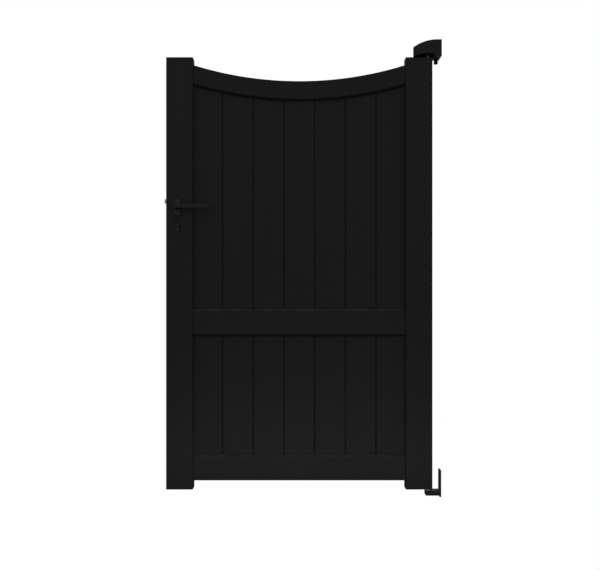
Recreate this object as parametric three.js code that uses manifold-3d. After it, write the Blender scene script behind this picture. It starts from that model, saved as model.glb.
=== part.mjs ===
// Solid-panel garden gate: an aluminium leaf with a dipped top rail, hung on two pivots from a pillar.
// Millimetres, Z up. X runs across the gate towards the pillar, whose face is X = 0, so the leaf lies
// at negative X. Y runs from the street face (negative) to the garden face. The origin is the centre
// of the lower wall plate's back.

import * as THREE from 'three';
import Module from 'manifold-3d';
import { mergeVertices } from 'three/addons/utils/BufferGeometryUtils.js';

const wasm = await Module();
wasm.setup();

// Leaf
const LEAF_WIDTH = 986;
const LEAF_HEIGHT = 1600;
const WALL_GAP = 33; // leaf edge to pillar face
const LEAF_ABOVE_ORIGIN = -20; // leaf's lower end above the lower wall plate's centre

// Stiles and rails, all hollow extrusions
const STILE_WIDTH = 99;
const STILE_DEPTH = 50;
const STILE_CORNER = 2;
const RAIL_DEPTH = 40;
const TUBE_WALL = 3;
const EDGE_WALL = 4; // the stile's outer wall, which takes the lock and the hinge load
const RAIL_FACE = 87; // flat front height of the straight rails
const RAIL_SPLAY = 8; // sloped edge beside the boards, as high as it is deep
const MIDDLE_RAIL_HEIGHT = 617.5; // its centre above the leaf's lower end
const BOTTOM_RAIL_HEIGHT = 32.5; // its lower edge above the leaf's lower end
const TOP_RAIL_FACE = 65;
const TOP_RAIL_DROP = 27; // stile top down to the rail's ends
const TOP_RAIL_DIP = 60; // how far the rail sinks between its ends
const ARC_SEGMENTS = 240; // in a full turn of the dip's circle

// Boards
const BOARD_COUNT = 7;
const BOARD_THICKNESS = 16;
const BOARD_WALL = 2.2;
const BOARD_HOLD = 6; // how far a board enters a stile or rail
const BOARD_VEE = 2.5; // chamfer each side of a joint, front and back
const TONGUE_LENGTH = 6;
const TONGUE_THICKNESS = 4;
const SLOT_DEPTH = 8;

// Clearances
const GAP = 0.3; // between pieces that touch
const RUNNING_GAP = 0.15; // a pin in its bush
const PAST = 1; // how far a cutter passes the face that it cuts
const MERGE = 0.5; // how far two joined shapes run into each other

// Facets round a circle
const ROUND_SIDES = 32;
const PLATE_HOLE_SIDES = 24;
const SCREW_SIDES = 20;
const GRUB_SIDES = 16;
const HOOD_ARC_STEPS = 20; // along the hood's curve
const CYLINDER_STEPS = 10; // along each curve of the cylinder's profile

// Stile caps
const CAP_THICKNESS = 2.5;
const CAP_PLUG = 14;
const HINGE_PLUG = 30;
const CAP_PLUG_WALL = 2.5;

// Pivots
const PIVOT_INSET = 14; // pivot axis in from the leaf's edge
const PIN_RADIUS = 5.5;
const PIN_REACH = 26; // into the leaf
const PIN_SHY = 1; // short of the end of the hole that it sits in
const BUSH_RADIUS = 8;
const BUSH_FLANGE_RADIUS = 11;
const BUSH_FLANGE = 2.6;
const WASHER_THICKNESS = 2.8;

// Lower bracket
const PLATE_THICKNESS = 5;
const LOWER_PLATE_HEIGHT = 100;
const BRACKET_DEPTH = 40;
const LOWER_ARM_HEIGHT = 18.2;
const ARM_PAST_PIVOT = 10.6;
const ARM_EDGE = 3;
const ARM_CORNER = 5;
const PLATE_CORNER = 4;
const WALL_SCREW_RADIUS = 4.3;
const LOWER_SCREW_HEIGHTS = [32, -14];

// Upper bracket and its hood
const UPPER_PLATE_WIDTH = 56;
const UPPER_PLATE_FOOT = 7; // above the leaf
const UPPER_PLATE_HEAD = 57;
const UPPER_ARM_FOOT = 12;
const UPPER_ARM_HEIGHT = 12;
const UPPER_SCREW_HEIGHT = 41;
const UPPER_SCREW_SPREAD = 36;
const PIN_HEAD_RADIUS = 8.5;
const PIN_HEAD_HEIGHT = 5;
const HOOD_LENGTH = 106;
const HOOD_DEPTH = 70;
const HOOD_TOP = 63.7; // above the leaf
const HOOD_FLAT = 16.3; // level part of its top, beside the pillar
const HOOD_ARC_RADIUS = 147.5;
const HOOD_WALL = 3;
const HOOD_END_LEAN = 10; // how far its free end has come in at the garden side
const HOOD_FOOT = 3; // lowest edge above the leaf
const HOOD_ARCH = 13.3; // crown of the cut-out in its side walls
const HOOD_ARCH_START = 9; // from the free end to where the cut-out begins to rise
const HOOD_ARCH_REACH = 33; // from the free end to where it is nearly level
const HOOD_ARCH_LEVEL = 8; // length of its level part, beside the heel
const HOOD_ARCH_CORNER = 3;
const HOOD_HEEL = 27; // length of the solid heel beside the pillar
const HOOD_EAR_LENGTH = 15; // lug that hangs at the garden side
const HOOD_EAR_CORNERS = [2, 5];
const HOOD_EAR_ROOT = 6; // how far the lug laps the side wall
const HOOD_EAR_INSET = 4;
const HOOD_EAR_DROP = 12; // below the leaf's top
const TAB_LENGTH = 15;
const TAB_WIDTH = 26;
const TAB_THICKNESS = 3.2;
const COVER_SCREW_RADIUS = 2;
const COVER_SCREW_HEAD = 3.8;
const COVER_SCREW_LENGTH = 12;
const COVER_SCREW_PLACE = 0.55; // share of the tab's length, from the wall plate

// Lock
const LOCK_BACKSET = 43; // spindle axis in from the leaf's edge
const SPINDLE_HEIGHT = 1044; // above the leaf's lower end
const LOCK_CENTRES = 66; // spindle axis down to cylinder axis
const FOREND_HEIGHT = 230;
const FOREND_WIDTH = 22;
const FOREND_THICKNESS = 2.4;
const FOREND_DROP = 22; // its middle below the spindle axis
const FOREND_CORNER = 1;
const FOREND_SCREW_INSET = 9; // from its ends
const FOREND_SCREW_LENGTH = 14;
const CASE_CLEARANCE = 5.3; // behind the case, inside the stile
const CASE_WIDTH = 15;
const CASE_WALL = 1.6;
const CASE_ABOVE = 46; // above the spindle axis
const CASE_BELOW = 34; // below the cylinder axis
const SCREW_RADIUS = 2;
const SCREW_HEAD_RADIUS = 3.8;
const SCREW_HEAD_HEIGHT = 1.8;

// Latch and dead bolt
const BOLT_WIDTH = 11;
const LATCH_HEIGHT = 16;
const LATCH_RISE = 25; // latch centre above the spindle axis
const LATCH_THROW = 10;
const LATCH_HEAD_LENGTH = 30;
const LATCH_TAIL_FOOT = 17.5;
const LATCH_TAIL_TOP = 22;
const LATCH_LUG_FOOT = 12.8;
const LATCH_LUG = 5;
const LATCH_NOSE = 1; // flat left at the bevel's tip
const TAIL_THICKNESS = 5;
const DEAD_BOLT_HEIGHT = 18;
const DEAD_BOLT_DROP = 40; // dead bolt centre below the spindle axis
const DEAD_BOLT_LENGTH = 56;
const SPRING_COILS = 7;
const SPRING_RADIUS = 2.4;
const SPRING_WIRE = 0.4;
const SPRING_DROP = 1; // its axis below the middle of the latch's tail
const SPRING_STEPS = 10; // in one coil

// Lever set
const SPINDLE_SIDE = 8;
const FOLLOWER_RADIUS = 9;
const FOLLOWER_ARM = 16.5;
const FOLLOWER_ARM_WIDTH = 6;
const FOLLOWER_COLLAR = 1.5; // its hub inside the case is that much larger
const ARM_PLAY = 0.5; // between the follower's arm and the latch's lug
const LEVER_LENGTH = 121; // spindle axis to tip
const LEVER_BAR_HEIGHT = 16;
const LEVER_BAR_THICKNESS = 11;
const LEVER_PROJECTION = 57; // stile face to the front of the bar
const LEVER_TIP_SLANT = 3; // its lower corner is that much shorter
const LEVER_HEEL_ROUND = 7;
const LEVER_TIP_ROUND = 3;
const LEVER_EDGE_ROUND = 2;
const LEVER_ROOT_ROUND = 5; // where the bar meets the neck
const LEVER_ROOT = 6; // depth of that blend behind the bar
const SOCKET_FLOOR = 8; // behind the bar
const NECK_RADIUS = 8;
const GRUB_RADIUS = 2.5;
const GRUB_SETBACK = 8; // in front of the rosette
const ROSETTE_WIDTH = 29;
const ROSETTE_HEIGHT = 67;
const ROSETTE_BASE = 3;
const ROSETTE_BODY_WIDTH = 22;
const ROSETTE_BODY = 6;
const ROSETTE_CORNER = 5;
const ROSETTE_BOLT_RISE = 26;
const BOLT_HEAD_SINK = 3.5;
const BOLT_HEAD_HEIGHT = 2.4;
const BOLT_BLIND = 2; // face left in front of a bolt's tip
const DRIVE_WIDTH = 1;
const DRIVE_DEPTH = 1.2;
const DRIVE_LENGTH = 5.2;

// Cylinder
const CYLINDER_RADIUS = 8.5;
const CYLINDER_TAIL = 24.5; // axis down to the tail's end
const CYLINDER_TAIL_WIDTH = 10;
const CYLINDER_PROJECTION = 7;
const CAM_GAP = 10;
const CAM_SWEEP = 15;
const PLUG_RADIUS = 6;
const KEYWAY_WIDTH = 1.6;
const KEYWAY_HEIGHT = 8;
const KEYWAY_DEPTH = 22;
const CYLINDER_TAIL_ROUND = 3;
const PLUG_PROUD = 0.5; // beyond the cylinder's ends
const CAM_RIM = 1; // the cam's ring beyond the plug
const CAM_FINGER = 7;
const CAM_PLAY = 1.2;
const KEYWAY_DROP = 1; // its middle below the plug's axis
const BRIDGE_SCREW_RISE = 4.5; // above the tail's end

// Worked out from the above
const LEAF_TOP = LEAF_ABOVE_ORIGIN + LEAF_HEIGHT;
const OPENING = LEAF_WIDTH - 2 * STILE_WIDTH;
const PIVOT_X = -(WALL_GAP + PIVOT_INSET);
const LEAF_CENTRE_X = -(WALL_GAP + LEAF_WIDTH / 2);
const SLOT_HALF = BOARD_THICKNESS / 2 + GAP;
const BOARD_PITCH = (OPENING + 2 * BOARD_HOLD) / BOARD_COUNT;
const RAIL_LENGTH = OPENING - 2 * GAP;
const MIDDLE_RAIL_FOOT = MIDDLE_RAIL_HEIGHT - RAIL_FACE / 2 - RAIL_SPLAY;
const MIDDLE_RAIL_TOP = MIDDLE_RAIL_HEIGHT + RAIL_FACE / 2 + RAIL_SPLAY;
const BOTTOM_RAIL_TOP = BOTTOM_RAIL_HEIGHT + RAIL_FACE + RAIL_SPLAY;
const DIP_RADIUS = ((OPENING / 2) ** 2 + TOP_RAIL_DIP ** 2) / (2 * TOP_RAIL_DIP);
const DIP_CENTRE = LEAF_HEIGHT - TOP_RAIL_DROP - TOP_RAIL_DIP + DIP_RADIUS;
const TOP_RAIL_OUTER = DIP_RADIUS + TOP_RAIL_FACE + RAIL_SPLAY;
const CASE_DEPTH = STILE_WIDTH - SLOT_DEPTH - TUBE_WALL - FOREND_THICKNESS - GAP - CASE_CLEARANCE;
const CYLINDER_LENGTH = STILE_DEPTH + 2 * CYLINDER_PROJECTION;
const FACE = STILE_DEPTH / 2;

const gate = new THREE.Group();
const leaf = new THREE.Group();
leaf.position.set(LEAF_CENTRE_X, 0, LEAF_ABOVE_ORIGIN);
const lock = new THREE.Group();
lock.position.set(LOCK_BACKSET - LEAF_WIDTH / 2, 0, SPINDLE_HEIGHT);
leaf.add(lock);
gate.add(leaf);

// Solids and meshes

function solid(geometry) {
  const plain = geometry.clone();
  plain.deleteAttribute('normal');
  plain.deleteAttribute('uv');
  const merged = mergeVertices(plain, 1e-4);
  const vertProperties = new Float32Array(merged.attributes.position.array);
  const triVerts = new Uint32Array(merged.index.array);
  return new wasm.Manifold(new wasm.Mesh({ numProp: 3, vertProperties, triVerts }));
}

function surface(body) {
  const mesh = body.getMesh();
  const geometry = new THREE.BufferGeometry();
  geometry.setAttribute('position', new THREE.BufferAttribute(new Float32Array(mesh.vertProperties), 3));
  geometry.setIndex(new THREE.BufferAttribute(new Uint32Array(mesh.triVerts), 1));
  geometry.computeVertexNormals();
  return geometry;
}

function place(parent, name, body, look, position = [0, 0, 0], turn = 0) {
  const material = new THREE.MeshStandardMaterial({ ...look, flatShading: true });
  const mesh = new THREE.Mesh(surface(body), material);
  mesh.name = name;
  mesh.position.set(...position);
  mesh.rotation.z = turn;
  parent.add(mesh);
}

function block(x, y, z) {
  const geometry = new THREE.BoxGeometry(x[1] - x[0], y[1] - y[0], z[1] - z[0]);
  geometry.translate((x[0] + x[1]) / 2, (y[0] + y[1]) / 2, (z[0] + z[1]) / 2);
  return solid(geometry);
}

// A rod along X, Y or Z between two values on that axis, through the other two coordinates.
function rod(axis, radius, span, across = [0, 0], sides = ROUND_SIDES) {
  const geometry = new THREE.CylinderGeometry(radius, radius, span[1] - span[0], sides);
  const middle = (span[0] + span[1]) / 2;
  if (axis === 'x') {
    geometry.rotateZ(-Math.PI / 2);
    geometry.translate(middle, across[0], across[1]);
  } else if (axis === 'y') {
    geometry.translate(across[0], middle, across[1]);
  } else {
    geometry.rotateX(Math.PI / 2);
    geometry.translate(across[0], across[1], middle);
  }
  return solid(geometry);
}

// A closed outline from corners [x, y, radius].
function outline(corners, path = new THREE.Shape()) {
  corners.forEach(([x, y, radius = 0], index) => {
    const corner = new THREE.Vector2(x, y);
    const next = corners[(index + 1) % corners.length];
    const before = new THREE.Vector2(...corners.at(index - 1)).sub(corner).setLength(radius);
    const after = new THREE.Vector2(...next).sub(corner).setLength(radius);
    const start = corner.clone().add(before);
    const end = corner.clone().add(after);
    if (index === 0) path.moveTo(start.x, start.y);
    else path.lineTo(start.x, start.y);
    if (radius > 0) path.quadraticCurveTo(x, y, end.x, end.y);
  });
  path.closePath();
  return path;
}

function rectangle(width, height, radius = 0) {
  const x = width / 2;
  const y = height / 2;
  return [[-x, -y, radius], [x, -y, radius], [x, y, radius], [-x, y, radius]];
}

// A shape drawn in XY, pushed along Z between two heights.
function upright(shape, span, curveSegments = 4) {
  const settings = { depth: span[1] - span[0], bevelEnabled: false, curveSegments };
  const geometry = new THREE.ExtrudeGeometry(shape, settings);
  geometry.translate(0, 0, span[0]);
  return solid(geometry);
}

// A shape drawn as (y, z), pushed along X.
function lengthwise(shape, span, curveSegments = 4) {
  const settings = { depth: span[1] - span[0], bevelEnabled: false, curveSegments };
  const geometry = new THREE.ExtrudeGeometry(shape, settings);
  geometry.rotateX(Math.PI / 2);
  geometry.rotateZ(Math.PI / 2);
  geometry.translate(span[0], 0, 0);
  return solid(geometry);
}

// A shape drawn as (x, z), pushed along Y.
function crosswise(shape, span, curveSegments = 6) {
  const settings = { depth: span[1] - span[0], bevelEnabled: false, curveSegments };
  const geometry = new THREE.ExtrudeGeometry(shape, settings);
  geometry.rotateX(Math.PI / 2);
  geometry.translate(0, span[1], 0);
  return solid(geometry);
}

// A profile [radius, height] turned round a vertical line.
function turned(profile, across = [0, 0], sides = ROUND_SIDES) {
  const points = profile.map(([radius, height]) => new THREE.Vector2(radius, height));
  const geometry = new THREE.LatheGeometry(points, sides);
  geometry.rotateX(Math.PI / 2);
  geometry.translate(across[0], across[1], 0);
  return solid(geometry);
}

// A countersunk screw along Z, its head's face at the top height.
function countersunk(radius, headRadius, headHeight, span, across) {
  const [foot, top] = span;
  const profile = [[0, foot], [radius, foot], [radius, top - headHeight], [headRadius, top], [0, top]];
  return turned(profile, across, SCREW_SIDES);
}

// The hole such a screw sits in.
function screwSeat(radius, headRadius, headHeight, span, across) {
  const [foot, top] = span;
  const mouth = headRadius + 2 * GAP;
  const bore = radius + GAP;
  const neck = top - headHeight - GAP;
  const lip = top + PAST;
  const profile = [[0, foot], [bore, foot], [bore, neck], [mouth, top], [mouth, lip], [0, lip]];
  return turned(profile, across, SCREW_SIDES);
}

// Looks
const coated = { color: 0x1a1a1b, roughness: 0.62, metalness: 0.25 };
const steel = { color: 0x9a9b9c, roughness: 0.35, metalness: 0.9 };
const dark = { color: 0x1d1d1e, roughness: 0.5, metalness: 0.4 };
const nylon = { color: 0x202020, roughness: 0.7, metalness: 0 };
const bronze = { color: 0x8c6a3a, roughness: 0.45, metalness: 0.85 };

// Stiles: their inner side has a slot for the board edges. Drawn with the slot at x = 0.

function stileSection() {
  const w = STILE_WIDTH;
  const d = FACE;
  const r = STILE_CORNER;
  const s = SLOT_HALF;
  return outline([
    [0, -d, r], [w, -d, r], [w, d, r], [0, d, r], [0, s], [SLOT_DEPTH, s], [SLOT_DEPTH, -s], [0, -s],
  ]);
}

function stileCavity() {
  const near = TUBE_WALL;
  const far = STILE_WIDTH - EDGE_WALL;
  const d = FACE - TUBE_WALL;
  const s = SLOT_HALF + TUBE_WALL;
  const behind = SLOT_DEPTH + TUBE_WALL;
  return outline([
    [near, -d], [far, -d], [far, d], [near, d], [near, s], [behind, s], [behind, -s], [near, -s],
  ], new THREE.Path());
}

function stile() {
  const section = stileSection();
  section.holes.push(stileCavity());
  return upright(section, [CAP_THICKNESS + GAP, LEAF_HEIGHT - CAP_THICKNESS - GAP]);
}

// Everything the lock needs out of the latch stile, in the lock's own frame: the forend's pocket,
// the case's way in, and the holes for spindle, cylinder and rosette bolts.
function lockCutouts() {
  const edge = -LOCK_BACKSET;
  const half = FOREND_WIDTH / 2 + GAP;
  const pocketTop = FOREND_HEIGHT / 2 - FOREND_DROP + GAP;
  const pocketFoot = -FOREND_HEIGHT / 2 - FOREND_DROP - GAP;
  const side = CASE_WIDTH / 2 + GAP;
  const caseFoot = -LOCK_CENTRES - CASE_BELOW - GAP;
  const through = [-FACE - PAST, FACE + PAST];
  const wall = [edge, edge + EDGE_WALL + PAST];
  let cuts = block([edge - PAST, edge + FOREND_THICKNESS + GAP], [-half, half], [pocketFoot, pocketTop]);
  cuts = cuts.add(block(wall, [-side, side], [caseFoot, CASE_ABOVE + GAP]));
  cuts = cuts.add(rod('y', NECK_RADIUS, through));
  cuts = cuts.add(crosswise(cylinderOutline(2 * GAP), through));
  for (const rise of [-ROSETTE_BOLT_RISE, ROSETTE_BOLT_RISE]) {
    cuts = cuts.add(rod('y', SCREW_RADIUS + GAP, through, [0, rise], SCREW_SIDES));
  }
  for (const height of forendScrewHeights()) {
    cuts = cuts.add(rod('x', SCREW_RADIUS + GAP, wall, [0, height], SCREW_SIDES));
  }
  return cuts;
}

function forendScrewHeights() {
  const reach = FOREND_HEIGHT / 2 - FOREND_SCREW_INSET;
  return [reach - FOREND_DROP, -reach - FOREND_DROP];
}

function stileCap(plugLength, isTop) {
  const plate = upright(outline([
    [0, -FACE, STILE_CORNER], [STILE_WIDTH, -FACE, STILE_CORNER],
    [STILE_WIDTH, FACE, STILE_CORNER], [0, FACE, STILE_CORNER],
  ]), [0, CAP_THICKNESS]);
  const x = [SLOT_DEPTH + TUBE_WALL + GAP, STILE_WIDTH - EDGE_WALL - GAP];
  const half = FACE - TUBE_WALL - GAP;
  const end = CAP_THICKNESS + plugLength;
  const plug = block(x, [-half, half], [CAP_THICKNESS - MERGE, end]);
  const wall = CAP_PLUG_WALL;
  let cap = plate.add(plug);
  if (plugLength === CAP_PLUG) {
    const inside = [x[0] + wall, x[1] - wall];
    cap = cap.subtract(block(inside, [wall - half, half - wall], [CAP_THICKNESS, end + PAST]));
  } else {
    const span = [-PAST, end + PAST];
    cap = cap.subtract(rod('z', BUSH_RADIUS + GAP, span, [STILE_WIDTH - PIVOT_INSET, 0]));
  }
  return isTop ? cap.rotate([180, 0, 0]) : cap;
}

function buildStiles() {
  const inner = OPENING / 2;
  place(leaf, 'hinge_stile', stile(), coated, [inner, 0, 0]);
  const lockPlace = [STILE_WIDTH - LOCK_BACKSET, 0, SPINDLE_HEIGHT];
  const cuts = lockCutouts().rotate([0, 0, 180]).translate(lockPlace);
  place(leaf, 'latch_stile', stile().subtract(cuts), coated, [-inner, 0, 0], Math.PI);
  place(leaf, 'hinge_stile_top_cap', stileCap(HINGE_PLUG, true), dark, [inner, 0, LEAF_HEIGHT]);
  place(leaf, 'hinge_stile_bottom_cap', stileCap(HINGE_PLUG, false), dark, [inner, 0, 0]);
  place(leaf, 'latch_stile_top_cap', stileCap(CAP_PLUG, true), dark, [-inner, 0, LEAF_HEIGHT], Math.PI);
  place(leaf, 'latch_stile_bottom_cap', stileCap(CAP_PLUG, false), dark, [-inner, 0, 0], Math.PI);
}

// Rails: hollow, slotted for the boards, with a sloped edge on each side of a slot.

function railSection(foot, top, slotBelow) {
  const d = RAIL_DEPTH / 2;
  const e = RAIL_SPLAY;
  const s = SLOT_HALF;
  const deep = top - SLOT_DEPTH;
  const high = foot + SLOT_DEPTH;
  const upper = [
    [d, top - e], [d - e, top], [s, top], [s, deep], [-s, deep], [-s, top], [e - d, top], [-d, top - e],
  ];
  const plainFoot = [[-d, foot, STILE_CORNER], [d, foot, STILE_CORNER]];
  const slottedFoot = [
    [-d, foot + e], [e - d, foot], [-s, foot], [-s, high],
    [s, high], [s, foot], [d - e, foot], [d, foot + e],
  ];
  const section = outline([...(slotBelow ? slottedFoot : plainFoot), ...upper]);
  const inner = d - TUBE_WALL;
  const floor = foot + TUBE_WALL + (slotBelow ? SLOT_DEPTH : 0);
  const roof = deep - TUBE_WALL;
  const cavity = [[-inner, floor], [inner, floor], [inner, roof], [-inner, roof]];
  section.holes.push(outline(cavity, new THREE.Path()));
  return section;
}

// A closed ring round the dip's centre, cut to the sector between the stiles.
function dipSector(profile) {
  const points = [...profile, profile[0]].map(([radius, depth]) => new THREE.Vector2(radius, depth));
  const ring = solid(new THREE.LatheGeometry(points, ARC_SEGMENTS)).translate([0, 0, DIP_CENTRE]);
  const half = RAIL_LENGTH / 2;
  const height = [LEAF_HEIGHT / 2, DIP_CENTRE - DIP_RADIUS / 2];
  return ring.intersect(block([-half, half], [-RAIL_DEPTH, RAIL_DEPTH], height));
}

function topRail() {
  const d = RAIL_DEPTH / 2;
  const e = RAIL_SPLAY;
  const s = SLOT_HALF;
  const near = DIP_RADIUS;
  const far = TOP_RAIL_OUTER;
  const profile = [
    [near, -d], [far - e, -d], [far, e - d], [far, -s], [far - SLOT_DEPTH, -s],
    [far - SLOT_DEPTH, s], [far, s], [far, d - e], [far - e, d], [near, d],
  ];
  const inner = d - TUBE_WALL;
  const cavity = [near + TUBE_WALL, far - SLOT_DEPTH - TUBE_WALL];
  const hollow = [[cavity[0], -inner], [cavity[1], -inner], [cavity[1], inner], [cavity[0], inner]];
  const throughEnds = [1 + 2 * PAST / RAIL_LENGTH, 1, 1];
  return dipSector(profile).subtract(dipSector(hollow).scale(throughEnds));
}

function buildRails() {
  const span = [-RAIL_LENGTH / 2, RAIL_LENGTH / 2];
  const middle = railSection(MIDDLE_RAIL_FOOT, MIDDLE_RAIL_TOP, true);
  const bottom = railSection(BOTTOM_RAIL_HEIGHT, BOTTOM_RAIL_TOP, false);
  place(leaf, 'top_rail', topRail(), coated);
  place(leaf, 'middle_rail', lengthwise(middle, span), coated);
  place(leaf, 'bottom_rail', lengthwise(bottom, span), coated);
}

// Boards: hollow tongue-and-groove planks, chamfered at each joint, front and back.

function boardSection(isFirst, isLast) {
  const half = BOARD_PITCH / 2 - GAP / 2;
  const t = BOARD_THICKNESS / 2;
  const v = BOARD_VEE;
  const tongue = TONGUE_THICKNESS / 2;
  const groove = tongue + GAP;
  const grooveEnd = -half + TONGUE_LENGTH + GAP;
  const tip = half + TONGUE_LENGTH;
  const grooved = [
    [-half + v, t], [-half, t - v], [-half, groove], [grooveEnd, groove],
    [grooveEnd, -groove], [-half, -groove], [-half, v - t], [-half + v, -t],
  ];
  const tongued = [
    [half - v, -t], [half, v - t], [half, -tongue], [tip, -tongue],
    [tip, tongue], [half, tongue], [half, t - v], [half - v, t],
  ];
  const left = isFirst ? [[-half, t], [-half, -t]] : grooved;
  const right = isLast ? [[half, -t], [half, t]] : tongued;
  return outline([...left, ...right]);
}

// The three hollow chambers that run the whole length of a board.
function boardChambers(span) {
  const half = BOARD_PITCH / 2 - GAP / 2;
  const first = -half + TONGUE_LENGTH + GAP + BOARD_WALL;
  const last = half - BOARD_VEE - BOARD_WALL;
  const width = (last - first - 2 * BOARD_WALL) / 3;
  const y = BOARD_THICKNESS / 2 - BOARD_WALL;
  const chambers = [0, 1, 2].map((index) => {
    const x = first + index * (width + BOARD_WALL);
    return block([x, x + width], [-y, y], [span[0] - PAST, span[1] + PAST]);
  });
  return chambers[0].add(chambers[1]).add(chambers[2]);
}

function board(section, span) {
  return upright(section, span).subtract(boardChambers(span));
}

function buildBoards() {
  const floor = SLOT_DEPTH - BOARD_HOLD;
  const lower = [BOTTOM_RAIL_TOP - SLOT_DEPTH + floor, MIDDLE_RAIL_FOOT + SLOT_DEPTH - floor];
  const upper = [MIDDLE_RAIL_TOP - SLOT_DEPTH + floor, LEAF_HEIGHT];
  const reach = TOP_RAIL_OUTER - BOARD_HOLD;
  const above = rod('y', reach, [-STILE_DEPTH, STILE_DEPTH], [0, DIP_CENTRE], ARC_SEGMENTS);
  for (let index = 0; index < BOARD_COUNT; index += 1) {
    const x = (index - (BOARD_COUNT - 1) / 2) * BOARD_PITCH;
    const section = boardSection(index === 0, index === BOARD_COUNT - 1);
    const tall = board(section, upper).subtract(above.translate([-x, 0, 0]));
    place(leaf, `upper_board_${index + 1}`, tall, coated, [x, 0, 0]);
    place(leaf, `lower_board_${index + 1}`, board(section, lower), coated, [x, 0, 0]);
  }
}

// Pivots. Each bush sits in a stile cap with its flange outside the leaf.

function bush(isTop) {
  const bore = PIN_RADIUS + RUNNING_GAP;
  const flange = [-GAP - BUSH_FLANGE, -GAP];
  const profile = [
    [bore, flange[0]], [BUSH_FLANGE_RADIUS, flange[0]], [BUSH_FLANGE_RADIUS, flange[1]],
    [BUSH_RADIUS, flange[1]], [BUSH_RADIUS, PIN_REACH], [bore, PIN_REACH], [bore, flange[0]],
  ];
  const body = turned(profile);
  return isTop ? body.rotate([180, 0, 0]) : body;
}

function buildPivots() {
  const leafX = LEAF_WIDTH / 2 - PIVOT_INSET;
  place(leaf, 'upper_hinge_bush', bush(true), bronze, [leafX, 0, LEAF_HEIGHT]);
  place(leaf, 'lower_hinge_bush', bush(false), bronze, [leafX, 0, 0]);

  const washerTop = LEAF_ABOVE_ORIGIN - GAP - BUSH_FLANGE - GAP;
  const washerFoot = washerTop - WASHER_THICKNESS;
  const bore = PIN_RADIUS + RUNNING_GAP;
  const washer = rod('z', BUSH_FLANGE_RADIUS, [washerFoot, washerTop])
    .subtract(rod('z', bore, [washerFoot - PAST, washerTop + PAST]));
  place(gate, 'thrust_washer', washer, nylon, [PIVOT_X, 0, 0]);

  const armTop = washerFoot - GAP;
  place(gate, 'lower_hinge_bracket', lowerBracket(armTop), coated);
  const lowerPin = [armTop - LOWER_ARM_HEIGHT + PIN_SHY, LEAF_ABOVE_ORIGIN + PIN_REACH - PIN_SHY];
  place(gate, 'lower_pivot_pin', rod('z', PIN_RADIUS, lowerPin), steel, [PIVOT_X, 0, 0]);

  place(gate, 'upper_hinge_bracket', upperBracket(), coated);
  place(gate, 'upper_pivot_pin', upperPin(), steel, [PIVOT_X, 0, LEAF_TOP]);
  place(gate, 'upper_hinge_cover', hood(), coated);
  place(gate, 'cover_screw', coverScrew(), dark);
}

function bracketArm(span) {
  const reach = PIVOT_X - ARM_PAST_PIVOT;
  const half = BRACKET_DEPTH / 2;
  const height = span[1] - span[0];
  const root = -PLATE_THICKNESS / 2;
  const round = ARM_CORNER;
  const plan = outline([[reach, -half, round], [root, -half], [root, half], [reach, half, round]]);
  const side = outline(rectangle(BRACKET_DEPTH, height, ARM_EDGE));
  const rounded = lengthwise(side, [reach - PAST, 0]).translate([0, 0, (span[0] + span[1]) / 2]);
  const arm = upright(plan, span).intersect(rounded);
  return arm.subtract(rod('z', PIN_RADIUS + GAP, [span[0] - PAST, span[1] + PAST], [PIVOT_X, 0]));
}

function wallPlate(width, span) {
  const plate = outline(rectangle(width, span[1] - span[0], PLATE_CORNER));
  return lengthwise(plate, [-PLATE_THICKNESS, 0]).translate([0, 0, (span[0] + span[1]) / 2]);
}

function wallScrewHole(across) {
  return rod('x', WALL_SCREW_RADIUS, [-PLATE_THICKNESS - PAST, PAST], across, PLATE_HOLE_SIDES);
}

function lowerBracket(armTop) {
  let bracket = wallPlate(BRACKET_DEPTH, [-LOWER_PLATE_HEIGHT / 2, LOWER_PLATE_HEIGHT / 2]);
  bracket = bracket.add(bracketArm([armTop - LOWER_ARM_HEIGHT, armTop]));
  for (const height of LOWER_SCREW_HEIGHTS) {
    bracket = bracket.subtract(wallScrewHole([0, height]));
  }
  return bracket;
}

function upperBracket() {
  const arm = [LEAF_TOP + UPPER_ARM_FOOT, LEAF_TOP + UPPER_ARM_FOOT + UPPER_ARM_HEIGHT];
  let bracket = wallPlate(UPPER_PLATE_WIDTH, [LEAF_TOP + UPPER_PLATE_FOOT, LEAF_TOP + UPPER_PLATE_HEAD]);
  bracket = bracket.add(bracketArm(arm));
  const tabTop = LEAF_TOP + HOOD_TOP - HOOD_WALL - GAP;
  const tabEnd = -PLATE_THICKNESS - TAB_LENGTH;
  const half = TAB_WIDTH / 2;
  bracket = bracket.add(block([tabEnd, -MERGE], [-half, half], [tabTop - TAB_THICKNESS, tabTop]));
  const stem = [LEAF_TOP + UPPER_SCREW_HEIGHT, tabTop];
  bracket = bracket.add(block([-PLATE_THICKNESS, -MERGE], [-half, half], stem));
  for (const side of [-1, 1]) {
    const across = [side * UPPER_SCREW_SPREAD / 2, LEAF_TOP + UPPER_SCREW_HEIGHT];
    bracket = bracket.subtract(wallScrewHole(across));
  }
  const tapped = [tabTop - TAB_THICKNESS - PAST, tabTop + PAST];
  return bracket.subtract(rod('z', COVER_SCREW_RADIUS + GAP, tapped, [coverScrewX(), 0], SCREW_SIDES));
}

function coverScrewX() {
  return -PLATE_THICKNESS - TAB_LENGTH * COVER_SCREW_PLACE;
}

function upperPin() {
  const head = UPPER_ARM_FOOT + UPPER_ARM_HEIGHT + GAP;
  const tip = PIN_SHY - PIN_REACH;
  return turned([
    [0, tip], [PIN_RADIUS, tip], [PIN_RADIUS, head], [PIN_HEAD_RADIUS, head],
    [PIN_HEAD_RADIUS, head + PIN_HEAD_HEIGHT], [0, head + PIN_HEAD_HEIGHT],
  ]);
}

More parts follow.
